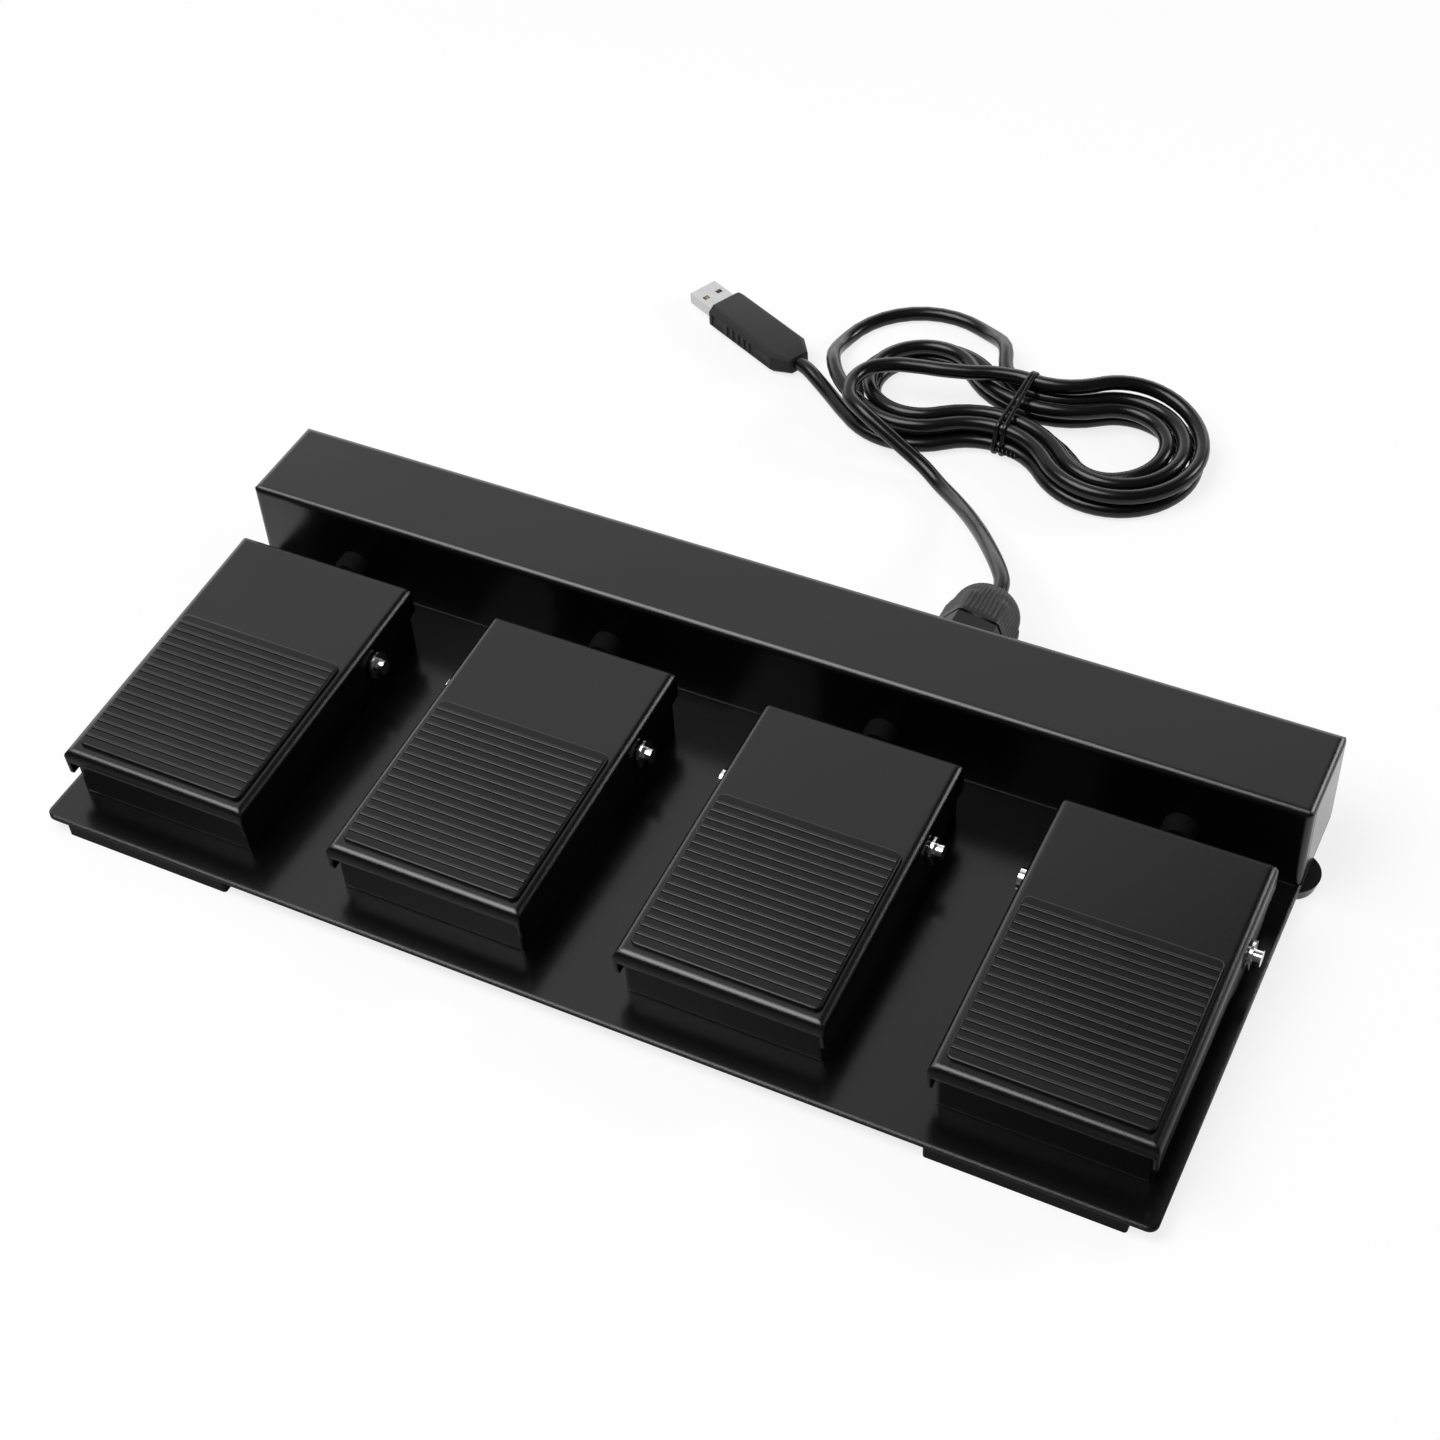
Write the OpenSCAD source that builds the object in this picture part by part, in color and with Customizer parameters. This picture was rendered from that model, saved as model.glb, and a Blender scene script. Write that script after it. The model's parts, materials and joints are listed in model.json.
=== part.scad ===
// Foot pedal unit: four treadles on one steel base plate, a wiring housing along
// the rear edge, and a USB cord tied in a hank behind it.
// Millimetres. +Z is up, +Y runs to the rear, and the floor is at z = 0.

/* [Base plate] */
// Width of the plate, left to right
plate_w = 370; // [362:1:420]
// Depth of the plate, front to rear
plate_d = 165; // [164:1:190]
// Sheet thickness of the plate
plate_t = 1.5; // [1:0.1:2.5]
// Radius of the plate's corners
plate_corner_r = 3; // [1:0.5:8]
// Clear height under the plate
foot_h = 4.5; // [4:0.1:8]

/* [Feet] */
// Length of a front strip foot
strip_l = 60; // [40:1:80]
// Depth of a front strip foot
strip_d = 10; // [6:0.5:12]
// Distance from the plate's end to a strip foot
strip_inset = 8; // [4:0.5:20]
// Diameter of a round rear foot at the plate
round_foot_d = 17.2; // [14:0.2:20]
// Diameter of a round rear foot at the floor
round_foot_base_d = 15; // [12:0.2:16]
// Distance of the round feet from the plate's rear edge
round_foot_from_rear = 28; // [24:1:29]

/* [Housing] */
// Depth of the housing, front to rear
housing_d = 35; // [34:0.5:37]
// Height of the housing above the plate
housing_h = 33; // [31:0.5:45]
// Sheet thickness of the housing
sheet_t = 1.2; // [0.8:0.1:1.6]
// Outer bend radius of the housing's edges
housing_bend_r = 2; // [1.8:0.1:4]
// Height of the pedal leads' holes above the plate
lead_hole_h = 11; // [9:0.5:14]

/* [Treadles] */
// Spacing of the pedals, centre to centre
pedal_pitch = 98; // [94:1:99]
// Width of a treadle
treadle_w = 67; // [60:0.5:70]
// Length of a treadle
treadle_l = 103; // [98:1:106]
// Sheet thickness of a treadle
treadle_t = 1.5; // [1:0.1:2]
// Outer bend radius of a treadle's edges
treadle_bend_r = 2.5; // [2.2:0.1:4]
// Depth of the lip across a treadle's front
lip_h = 5; // [4:0.5:7]
// Depth of a treadle's side flanges
flange_h = 10; // [8:0.5:12]
// Slope of a treadle at rest, in degrees
rest_tilt = 2.7; // [2:0.1:3.5]
// How far a treadle tips when pressed, in degrees
press_angle = 4.5; // [3:0.1:5]
// Clear space between a pedal tray and the housing
pedal_clearance = 16.5; // [14:0.5:18]
// Height of the pivot axis above the plate
pivot_h = 14.5; // [14:0.1:16]
// Distance from the pivot axis to a treadle's front edge
front_reach = 77; // [74:0.5:79]
// Height of a treadle's top above the pivot axis
top_rise = 9.5; // [9:0.1:11]
// Diameter of a pivot pin
pin_d = 5; // [4:0.1:5.4]

/* [Tread pads] */
// Width and length of a pad
pad_w = 60.5; // [50:0.5:62]
// Distance from a treadle's front edge to its pad
pad_setback = 4.3; // [3:0.1:10]
// Thickness of a pad without its ribs
pad_t = 1.4; // [1:0.1:2.5]
// Height of a pad's ribs
rib_h = 0.4; // [0.3:0.1:1.2]
// Number of ribs across a pad
rib_count = 17; // [12:1:24]

/* [Trays and switches] */
// Sheet thickness of a pedal tray
tray_t = 1.2; // [0.8:0.1:1.6]
// Side clearance between a tray and its treadle
tray_gap = 0.4; // [0.3:0.05:0.8]
// Length of a micro switch
switch_l = 27.8; // [24:0.2:28]
// Thickness of a micro switch
switch_t = 10.3; // [8:0.1:11]
// Height of a micro switch
switch_h = 15.9; // [14.5:0.1:16]
// Diameter of a switch plunger
plunger_d = 3; // [2:0.1:4]
// Distance from the pivot axis to the plunger
plunger_arm = 22; // [20:0.5:23]
// Distance from the pivot axis to the return spring
spring_arm = 54; // [48:1:58]
// Mean diameter of a return spring
spring_d = 10; // [8:0.5:14]
// Wire diameter of a return spring
spring_wire = 1.2; // [0.8:0.1:1.4]
// Turns of a return spring
spring_turns = 6; // [4:1:7]

/* [Cord and gland] */
// Diameter of the USB cord
cord_d = 5.5; // [4.5:0.1:5.6]
// Diameter of a pedal lead
lead_d = 4; // [3:0.1:4.4]
// Distance of the gland from the middle of the housing
gland_x = 61; // [60:0.5:62]
// Height of the gland's axis above the plate
gland_h = 16.5; // [15:0.5:18]
// Corner radius of the gland's hexagons
gland_hex_r = 13.4; // [12:0.1:14.5]
// Radius of the gland's thread in the wall
gland_thread_r = 7.5; // [6:0.1:8]
// Length of the gland nut's hexagon
gland_nut_l = 12; // [11:0.5:16]
// Length of the gland nut's dome
gland_dome_l = 7.5; // [7:0.5:11]

/* [Plug] */
// Length of the plug's overmould
plug_l = 45; // [36:1:50]
// Width of the plug's overmould
plug_w = 17; // [15:0.5:20]
// Height of the plug's overmould
plug_h = 10; // [8:0.5:12]
// Length of the metal shell that shows
shell_l = 14; // [11:0.5:16]

/* [Hidden] */
$fn = 48;
pi = 3.14159265;

// Levels and the outline of the plate
plate_z = foot_h + plate_t;
plate_front = -plate_d / 2;
plate_rear = plate_d / 2;
housing_front = plate_rear - housing_d;
housing_mid = plate_rear - housing_d / 2;

// Fasteners: shank, head and nut sizes shared by every screw
screw_r = 1.5;
screw_clear = 0.1;
head_r = 2.75;
head_h = 2;
nut_r = 3.15;
nut_h = 2.4;
screw_tail = 0.6;
slot_w = 0.9;
slot_depth = 1;
foot_nut_r = 2.6;
seat_gap = 0.4;

// How far a cutting shape runs past the face that it cuts
cut = 1;

// Pedals: the pivot axis, the treadle's underside and the tray around it
pedal_xs = [for (i = [0:3]) (i - 1.5) * pedal_pitch];
tail_overhang = 1;
tray_tail = treadle_l - front_reach - tail_overhang;
pivot_y = housing_front - pedal_clearance - tray_tail;
pivot_z = plate_z + pivot_h;
under_rise = top_rise - treadle_t;
full_tilt = rest_tilt + press_angle;
function underside_z(y, tilt) = pivot_z + under_rise / cos(tilt) + (y - pivot_y) * tan(tilt);
treadle_tail = treadle_l - front_reach;
ear_half = 9;
ear_slope = 9;
ear_wall = 3.5;
below = 40;
pin_r = pin_d / 2;
pin_clear = 0.05;
pin_end = 4.1;
clip_t = 0.8;
clip_r = 4.6;
clip_gap = 0.6;
groove_depth = 0.5;
groove_w = 1;
pin_head_r = 3.6;
pin_head_t = 2;

tray_half = treadle_w / 2 - treadle_t - tray_gap;
lip_gap = 1;
tray_front = pivot_y - front_reach + treadle_t + lip_gap;
tray_rear = pivot_y + tray_tail;
tray_floor = plate_z + tray_t;
travel_gap = 0.6;
stop_gap = 0.3;
wall_front_top = underside_z(tray_front, full_tilt) - travel_gap;
wall_rear_top = underside_z(pivot_y, full_tilt) - travel_gap;
stop_top = underside_z(tray_rear - tray_t, rest_tilt) - stop_gap;
tray_screw_x = 24;
tray_screw_inset = 10;
tray_screw_foot_gap = 1.5;
tray_screw_front = max(tray_front + tray_screw_inset, plate_front + strip_d + head_r + tray_screw_foot_gap);
tray_screw_ys = [tray_screw_front, tray_rear - tray_screw_inset];

// Switches: body, plunger and the two screws through the body
switch_y = pivot_y - plunger_arm;
switch_rear = switch_y + switch_l / 2;
switch_screw_inset = 2.8;
switch_screw_low = 3.6;
switch_screw_places = [
    [switch_y - switch_l / 2 + switch_screw_inset, tray_floor + switch_screw_low],
    [switch_rear - switch_screw_inset, tray_floor + switch_h - switch_screw_inset]
];
plunger_r = plunger_d / 2;
plunger_clear = 0.05;
plunger_depth = 3.5;
plunger_bore = 6;
plunger_top = underside_z(switch_y, rest_tilt) - stop_gap;
terminal_l = 4;
terminal_w = 6.2;
terminal_t = 0.8;
terminal_low = 4.5;
terminal_step = 2.4;

// Return springs
spring_y = pivot_y - spring_arm;
spring_seat_gap = 0.05;
spring_top_gap = 0.5;
stud_gap = 1;
spring_low = tray_floor + spring_wire / 2 + spring_seat_gap;
spring_high = underside_z(spring_y, rest_tilt) - spring_wire / 2 - spring_top_gap;
stud_r = spring_d / 2 - spring_wire / 2 - stud_gap;
stud_h = 5;

// Leads and their grommets
lead_r = lead_d / 2;
lead_z = plate_z + lead_hole_h;
neck_wall = 2;
neck_r = lead_r + neck_wall;
neck_clear = 0.05;
lead_clear = 0.1;
grommet_rim = 1.5;
grommet_r = neck_r + grommet_rim;
grommet_bevel = 1.4;
grommet_outer_l = 6;
grommet_inner_l = 2;
terminal_z = tray_floor + terminal_low + terminal_step / 2 + terminal_t / 2;
terminal_y = switch_rear + terminal_l;

// Board inside the housing
board_w = 150;
board_d = 16;
board_t = 1.6;
board_setback = 18.5;
board_y = housing_front + board_setback;
post_h = 6;
post_r = 3;
post_floor = 1;
board_z = plate_z + post_h;
board_top = board_z + board_t;
post_xs = [-69, -22, 38, 69];
post_offset = 4;
post_y = board_y + post_offset;
pilot_r = 1.25;
socket_w = 8;
socket_d = 6;
socket_h = 6;
socket_inset = 1;
socket_y = board_y - board_d / 2 + socket_inset;
outer_socket_x = 65;
cord_socket_x = 20;
cord_socket_w = 12;
cord_socket_d = 8;
cord_socket_h = 7;
chip_w = 9;
chip_t = 1.5;
can_x = -31;
can_pitch = 7;
can_r = 2.5;
can_h = 7;
crystal_x = -20;
crystal_l = 10;
crystal_d = 4;
crystal_h = 3.4;

// Housing tabs that its screws pass through
tab_w = 12;
tab_x = 112;
tab_offset = 8;
tab_y = housing_mid + tab_offset;
tab_hole = tab_w / 2;
seam_w = 0.4;
seam_inset = 3;

// Round rear feet stand under the housing's ends
round_foot_x = plate_w / 2 - sheet_t - foot_nut_r - seat_gap;
round_foot_y = plate_rear - round_foot_from_rear;
foot_recess = 2.5;

// Gland, measured from the rear wall along its axis
gland_z = plate_z + gland_h;
cord_r = cord_d / 2;
gland_flange_l = 8;
gland_gap = 0.5;
gland_nut_start = gland_flange_l + gland_gap;
gland_nut_end = gland_nut_start + gland_nut_l;
gland_exit = gland_nut_end + gland_dome_l;
gland_inside = 9;
lock_nut_l = 5;
lock_nut_r = 11.5;
nut_thread_r = 9.5;
nut_thread_end = 19;
seal_r = 6;
seal_start = 13;
seal_end = 25;
fit_clear = 0.1;
gland_lip = 2.5;
hex_turn = 10;

// Hank: two lobes with a drawn-in waist, wound inward and then outward
hank_x = 28;
hank_y = 220;
hank_turn = -5;
hank_reach = 70;
lobe_r = 31;
waist_half = 16;
loop_step = 6.3;
layer_step = 6.1;
hank_turns = 4.67;
climb_from = 2.2;
climb_to = 2.5;
entry_turn = 0.22;
waist_lift = 1;
loose_bulge = 22;
loose_middle = 0.835;
loose_half = 0.18;
loose_drop_from = 9;
loop_rings = 24;
wound_sides = 6;
curl_rings = 8;
cord_sides = 10;
lead_sides = 8;

// Tie round the waist of the hank
tie_w = 3;
tie_t = 0.5;
tie_gap = 0.4;
tie_side_gap = 0.6;

// Plug: its rear face, its heading and its small sizes
plug_rear = [-60, 219];
plug_heading = 154.2;
plug_taper_l = 7;
plug_rear_w = 9;
plug_rear_h = 7;
plug_bevel = 2.2;
nose = 1;
grip_h = 5;
grip_depth = 0.7;
grip_w = 2.2;
grip_count = 4;
grip_pitch = 3.4;
grip_start = 20.6;
shell_w = 12;
shell_h = 4.5;
shell_t = 0.35;
shell_depth = 6;
window_l = 2;
window_w = 2.5;
window_from_tip = 6.4;
window_offset = 3.1;
tongue_t = 1.7;
tongue_setback = 0.8;
contact_w = 1;
contact_t = 0.15;
contact_pitch = 2.2;
contact_l = 8;
contact_from_tip = 1.5;

powder_black = "#2b2b2c";
deep_black = "#161617";
rubber_black = "#202021";
bright_steel = "#c9cccf";
board_green = "#1f5a37";
nylon_white = "#e4e2da";
contact_gold = "#c9a24a";

// Small vector and curve helpers
function unit(v) = v / norm(v);
function level(v) = unit([v[0], v[1], 0]);
function ease(u) = let (c = min(1, max(0, u))) c * c * (3 - 2 * c);
function turned(p, angle) = [p[0] * cos(angle) - p[1] * sin(angle), p[0] * sin(angle) + p[1] * cos(angle)];

// Direction of a route at one of its points
function heading(route, i) =
    let (last = len(route) - 1)
    unit(route[min(last, i + 1)] - route[max(0, i - 1)]);

// Points of a round tube swept along a route, one ring for each point
function tube_points(route, radius, sides) = [
    for (i = [0:len(route) - 1])
        let (along = heading(route, i), side = unit(cross(along, [0, 0, 1])), up = cross(side, along))
        for (k = [0:sides - 1])
            let (a = 360 * (k + 0.5) / sides)
            route[i] + radius * (cos(a) * side + sin(a) * up)
];

// Triangles of that tube: its sides, then a fan over each end
function tube_faces(rings, sides) = concat(
    [for (i = [0:rings - 2], k = [0:sides - 1])
        [i * sides + k, i * sides + (k + 1) % sides, (i + 1) * sides + k]],
    [for (i = [0:rings - 2], k = [0:sides - 1])
        [i * sides + (k + 1) % sides, (i + 1) * sides + (k + 1) % sides, (i + 1) * sides + k]],
    [for (k = [1:sides - 2]) [0, k + 1, k]],
    [for (k = [1:sides - 2]) (rings - 1) * sides * [1, 1, 1] + [0, k, k + 1]]
);

module tube(route, radius, sides) {
    polyhedron(
        points = tube_points(route, radius, sides),
        faces = tube_faces(len(route), sides),
        convexity = 10
    );
}

// Extrude a (y, z) outline along X, or an (x, z) outline along Y, about the middle
module along_x(length) {
    rotate([90, 0, 90]) linear_extrude(length, center = true) children();
}

module along_y(length) {
    rotate([90, 0, 0]) linear_extrude(length, center = true) children();
}

// Turn an upright piece to lie along +X or along +Y
module lying_x() {
    rotate([0, 90, 0]) children();
}

module lying_y() {
    rotate([-90, 0, 0]) children();
}

// Outline of a folded sheet: a rectangle with round top corners
module folded_outline(width, height, radius) {
    translate([-width / 2, 0]) square([width, height - radius]);
    translate([radius - width / 2, 0]) square([width - 2 * radius, height]);
    for (side = [-1, 1]) translate([side * (width / 2 - radius), height - radius]) circle(radius);
}

module round_rectangle(width, depth, radius) {
    square([width - 2 * radius, depth], center = true);
    square([width, depth - 2 * radius], center = true);
    for (sx = [-1, 1], sy = [-1, 1])
        translate([sx * (width / 2 - radius), sy * (depth / 2 - radius)]) circle(radius);
}

module folded_box(width, depth, height, radius) {
    intersection() {
        along_x(width) folded_outline(depth, height, radius);
        along_y(depth) folded_outline(width, height, radius);
        linear_extrude(height) round_rectangle(width, depth, radius);
    }
}

// A screw with its nut: head below, shank up through `grip` of sheet, nut on top
module screw_and_nut(grip) {
    slotted_head();
    cylinder(h = grip + nut_h + screw_tail, r = screw_r);
    translate([0, 0, grip]) cylinder(h = nut_h, r = nut_r, $fn = 6);
}

// A round head that hangs below z = 0, with a driver slot in its lower face
module slotted_head() {
    difference() {
        translate([0, 0, -head_h]) cylinder(h = head_h, r = head_r);
        translate([-head_r - cut, -slot_w / 2, -head_h - cut])
            cube([2 * (head_r + cut), slot_w, cut + slot_depth]);
    }
}

module screw_hole(depth) {
    translate([0, 0, -cut]) cylinder(h = depth + 2 * cut, r = screw_r + screw_clear);
}

// Places of the screws that hold the housing: [x, y] under its inner tabs
function housing_screw_places() = concat(
    [for (s = [-1, 1]) [s * tab_x, plate_rear - sheet_t - tab_hole]],
    [for (s = [-1, 1]) [s * (plate_w / 2 - sheet_t - tab_hole), tab_y]]
);

function tray_screw_places() =
    [for (px = pedal_xs, s = [-1, 1], y = tray_screw_ys) [px + s * tray_screw_x, y]];

// Base plate and feet

module base_plate() {
    color(powder_black)
    difference() {
        translate([0, 0, foot_h]) linear_extrude(plate_t) round_rectangle(plate_w, plate_d, plate_corner_r);
        for (p = concat(housing_screw_places(), tray_screw_places()))
            translate([p[0], p[1], foot_h]) screw_hole(plate_t);
        for (s = [-1, 1])
            translate([s * round_foot_x, round_foot_y, foot_h]) screw_hole(plate_t);
    }
}

module front_foot(side) {
    color(rubber_black)
    translate([side * (plate_w / 2 - strip_inset - strip_l / 2), plate_front + strip_d / 2, 0])
        linear_extrude(foot_h) round_rectangle(strip_l, strip_d, 1);
}

module rear_foot(side) {
    color(rubber_black)
    translate([side * round_foot_x, round_foot_y, 0])
    difference() {
        cylinder(h = foot_h, r1 = round_foot_base_d / 2, r2 = round_foot_d / 2);
        translate([0, 0, -cut]) cylinder(h = foot_recess + cut, r = head_r + 2 * screw_clear);
        screw_hole(foot_h);
    }
}

module rear_foot_screws() {
    color(bright_steel)
    for (s = [-1, 1]) translate([s * round_foot_x, round_foot_y, 0]) {
        translate([0, 0, foot_recess]) slotted_head();
        translate([0, 0, foot_recess]) cylinder(h = plate_z + nut_h - foot_recess, r = screw_r);
        translate([0, 0, plate_z]) cylinder(h = nut_h, r = foot_nut_r);
    }
}

// Housing: one folded sheet, open underneath, with tabs turned in for its screws

module housing_shell() {
    inner_w = plate_w - 2 * sheet_t;
    inner_d = housing_d - 2 * sheet_t;
    inner_h = housing_h - sheet_t;
    color(powder_black)
    difference() {
        union() {
            translate([0, housing_mid, plate_z])
            difference() {
                folded_box(plate_w, housing_d, housing_h, housing_bend_r);
                translate([0, 0, -cut])
                    folded_box(inner_w, inner_d, inner_h + cut, housing_bend_r - sheet_t);
            }
            for (s = [-1, 1])
                translate([s * tab_x - tab_w / 2, plate_rear - sheet_t / 2 - tab_w, plate_z])
                    cube([tab_w, tab_w, sheet_t]);
            for (s = [-1, 1])
                translate([s * (plate_w / 2 - (sheet_t + tab_w) / 2) - tab_w / 2, tab_y - tab_w / 2, plate_z])
                    cube([tab_w, tab_w, sheet_t]);
        }
        for (p = housing_screw_places()) translate([p[0], p[1], plate_z]) screw_hole(sheet_t);
        for (x = pedal_xs)
            translate([x, housing_front - cut, lead_z])
                lying_y() cylinder(h = sheet_t + 2 * cut, r = neck_r + neck_clear);
        translate([gland_x, plate_rear - sheet_t - cut, gland_z])
            lying_y() cylinder(h = sheet_t + 2 * cut, r = gland_thread_r + fit_clear);
        for (s = [-1, 1])
            translate([s * (plate_w - sheet_t) / 2, housing_front + seam_inset, plate_z - cut])
                translate([-sheet_t, 0, 0])
                    cube([2 * sheet_t, seam_w, housing_h + cut - housing_bend_r]);
    }
}

// The housing and the trays are held to the plate by the same screws
module sheet_screws() {
    color(bright_steel) {
        for (p = housing_screw_places()) translate([p[0], p[1], foot_h]) screw_and_nut(plate_t + sheet_t);
        for (p = tray_screw_places()) translate([p[0], p[1], foot_h]) screw_and_nut(plate_t + tray_t);
    }
}

// Control board on its posts

module control_board() {
    color(board_green)
    difference() {
        translate([-board_w / 2, board_y - board_d / 2, board_z]) cube([board_w, board_d, board_t]);
        for (x = post_xs) translate([x, post_y, board_z]) screw_hole(board_t);
    }
}

module board_components() {
    color(deep_black) {
        translate([-chip_w / 2, board_y - chip_w / 2, board_top]) cube([chip_w, chip_w, chip_t]);
        for (x = [can_x, can_x - can_pitch])
            translate([x, board_y, board_top]) cylinder(h = can_h, r = can_r);
        translate([crystal_x, board_y - crystal_d, board_top]) cube([crystal_l, crystal_d, crystal_h]);
    }
}

function socket_places() = [-outer_socket_x, pedal_xs[1], pedal_xs[2], outer_socket_x];

module lead_connectors() {
    color(nylon_white)
    for (x = socket_places())
        translate([x - socket_w / 2, socket_y, board_top]) cube([socket_w, socket_d, socket_h]);
}

module cord_connector() {
    color(nylon_white)
    translate([cord_socket_x - cord_socket_w / 2, board_y - cord_socket_d / 2, board_top])
        cube([cord_socket_w, cord_socket_d, cord_socket_h]);
}

module board_posts() {
    color(nylon_white)
    for (x = post_xs) translate([x, post_y, plate_z])
        difference() {
            cylinder(h = post_h, r = post_r);
            translate([0, 0, post_floor]) cylinder(h = post_h, r = pilot_r + screw_clear);
        }
}

module board_screws() {
    shank_l = post_h - 2 * post_floor;
    color(bright_steel)
    for (x = post_xs) translate([x, post_y, board_top]) {
        cylinder(h = head_h, r = head_r);
        translate([0, 0, -board_t - shank_l]) cylinder(h = board_t + shank_l, r = pilot_r);
    }
}

// Cable gland in the rear wall: flanged body, dome nut, seal and inner lock nut

module at_gland() {
    translate([gland_x, plate_rear, gland_z]) lying_y() children();
}

module gland_hex(length, radius) {
    rotate(hex_turn) cylinder(h = length, r = radius, $fn = 6);
}

module gland_body() {
    bore_r = cord_r + fit_clear;
    color(deep_black)
    at_gland()
    difference() {
        union() {
            translate([0, 0, -sheet_t - gland_inside])
                cylinder(h = sheet_t + gland_inside, r = gland_thread_r);
            gland_hex(gland_flange_l, gland_hex_r);
            cylinder(h = nut_thread_end, r = nut_thread_r);
        }
        translate([0, 0, -sheet_t - gland_inside - cut])
            cylinder(h = sheet_t + gland_inside + nut_thread_end + 2 * cut, r = bore_r);
        translate([0, 0, seal_start]) cylinder(h = nut_thread_end, r = seal_r + fit_clear);
    }
}

module gland_nut() {
    dome_steps = 6;
    dome_root = gland_nut_end - cut;
    exit_r = cord_r + gland_lip;
    dome_r = gland_hex_r * cos(30);
    dome = [for (i = [0:dome_steps])
        let (a = 90 * i / dome_steps)
        [exit_r + (dome_r - exit_r) * cos(a), gland_nut_end + gland_dome_l * sin(a)]];
    color(deep_black)
    at_gland()
    difference() {
        union() {
            translate([0, 0, gland_nut_start]) gland_hex(gland_nut_l, gland_hex_r);
            rotate_extrude()
                polygon(concat([[0, dome_root], [dome_r, dome_root]], dome, [[0, gland_exit]]));
        }
        translate([0, 0, gland_nut_start - cut])
            cylinder(h = nut_thread_end + 2 * cut - gland_nut_start, r = nut_thread_r + fit_clear);
        translate([0, 0, gland_nut_start])
            cylinder(h = seal_end + fit_clear - gland_nut_start, r = seal_r + fit_clear);
        cylinder(h = gland_exit + cut, r = cord_r + fit_clear);
    }
}

module gland_seal() {
    color(rubber_black)
    at_gland()
    translate([0, 0, seal_start])
    difference() {
        cylinder(h = seal_end - seal_start, r = seal_r);
        translate([0, 0, -cut]) cylinder(h = seal_end, r = cord_r + fit_clear);
    }
}

module gland_lock_nut() {
    color(deep_black)
    at_gland()
    translate([0, 0, -sheet_t - lock_nut_l])
    difference() {
        gland_hex(lock_nut_l, lock_nut_r);
        translate([0, 0, -cut]) cylinder(h = lock_nut_l + 2 * cut, r = gland_thread_r + fit_clear);
    }
}

// Hank of the cord. A loop is two lobe arcs joined by two waist arcs that bend the
// other way, so a loop set in by some amount stays parallel to the one outside it.
lobe_x = hank_reach - lobe_r;
waist_r = (lobe_x * lobe_x + waist_half * waist_half - lobe_r * lobe_r) / (2 * (lobe_r - waist_half));
waist_angle = atan2(lobe_x, waist_half + waist_r);
waist_arc = waist_r * waist_angle * pi / 180;
lobe_arc = lobe_r * (90 + waist_angle) * pi / 180;

// A point in the rear right quarter of a loop, by length from the middle of the waist
function quarter_point(s, inset) =
    s < waist_arc
        ? let (a = s / waist_r * 180 / pi)
            [(waist_r + inset) * sin(a), waist_half + waist_r - (waist_r + inset) * cos(a)]
        : let (a = 90 + waist_angle - (s - waist_arc) / lobe_r * 180 / pi)
            [lobe_x + (lobe_r - inset) * cos(a), (lobe_r - inset) * sin(a)];

// A point of a whole loop, clockwise from the middle of the rear waist
function loop_point(turn, inset) =
    let (
        f = turn - floor(turn),
        half = f < 0.5 ? f : f - 0.5,
        q = half <= 0.25 ? half : 0.5 - half,
        p = quarter_point(q * 4 * (waist_arc + lobe_arc), inset)
    )
    [f < 0.5 ? p[0] : -p[0], (f < 0.25 || f > 0.75) ? p[1] : -p[1]];

// How far the loose loop bulges, and the angle through which the entry rolls off
function bulge(turn) =
    let (u = (turn - loose_middle) / loose_half)
    abs(u) < 1 ? loose_bulge * pow(cos(90 * u), 2) : 0;

function entry_angle(turn) = 90 * ease(turn / entry_turn);

function loop_inset(turn) =
    loop_step * (min(turn, hank_turns - turn) + 1 - sin(entry_angle(turn))) - bulge(turn);

function loop_height(turn) =
    cord_r + layer_step * (
        1 - ease((turn - climb_from) / (climb_to - climb_from))
        + cos(entry_angle(turn))
        - ease((bulge(turn) - loose_drop_from) / loose_drop_from)
    ) + waist_lift * pow(cos(360 * turn), 4);

function hank_point(turn) =
    let (p = turned(loop_point(turn, loop_inset(turn)), hank_turn))
    [hank_x + p[0], hank_y + p[1], loop_height(turn)];

hank_rings = round(hank_turns * loop_rings);
hank_route = [for (i = [0:hank_rings]) hank_point(i * hank_turns / hank_rings)];
hank_start = hank_route[0];
hank_end = hank_route[len(hank_route) - 1];
hank_start_way = heading(hank_route, 0);
hank_end_way = level(heading(hank_route, len(hank_route) - 1));

// Least gap between strands that lie at least a third of a turn apart
hank_gap = min([for (i = [0:len(hank_route) - 1], k = [i + loop_rings / 3:len(hank_route) - 1])
    norm(hank_route[i] - hank_route[k])]) - cord_d;
spring_gap = (spring_high - spring_low) / spring_turns - spring_wire;
echo(hank_gap = hank_gap, spring_gap = spring_gap);

// Route of the free run, from the gland to the hank
gland_mouth = [gland_x, plate_rear + gland_exit, gland_z];
free_route = concat(
    [gland_mouth, gland_mouth + [0, cord_d, 0]],
    [
        [59.8, 120.7, 22.3], [56.9, 125.9, 21.5], [52.9, 132, 19.9], [47.8, 139.6, 17.1], [42.4, 147.5, 13.8],
        [36.6, 155.5, 10.2], [30.1, 163.5, 6.8], [22.7, 171, 4.2], [14.6, 177.6, 2.9], [6, 182.5, 5],
        [-4, 185.5, 8.8], [-13, 188, 12.4], [-21.5, 191, 15.2], [-29, 196.5, 15.8], [-31.5, 205, 15.9],
        [-29, 213.5, 15.9], [-21.5, 219, 15.9], [-12.5, 221.5, 15.9], [-3.5, 223, 16], [5.5, 225.3, 16],
        [14, 228.2, 16]
    ],
    [hank_start - cord_d * hank_start_way, hank_start]
);

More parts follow.
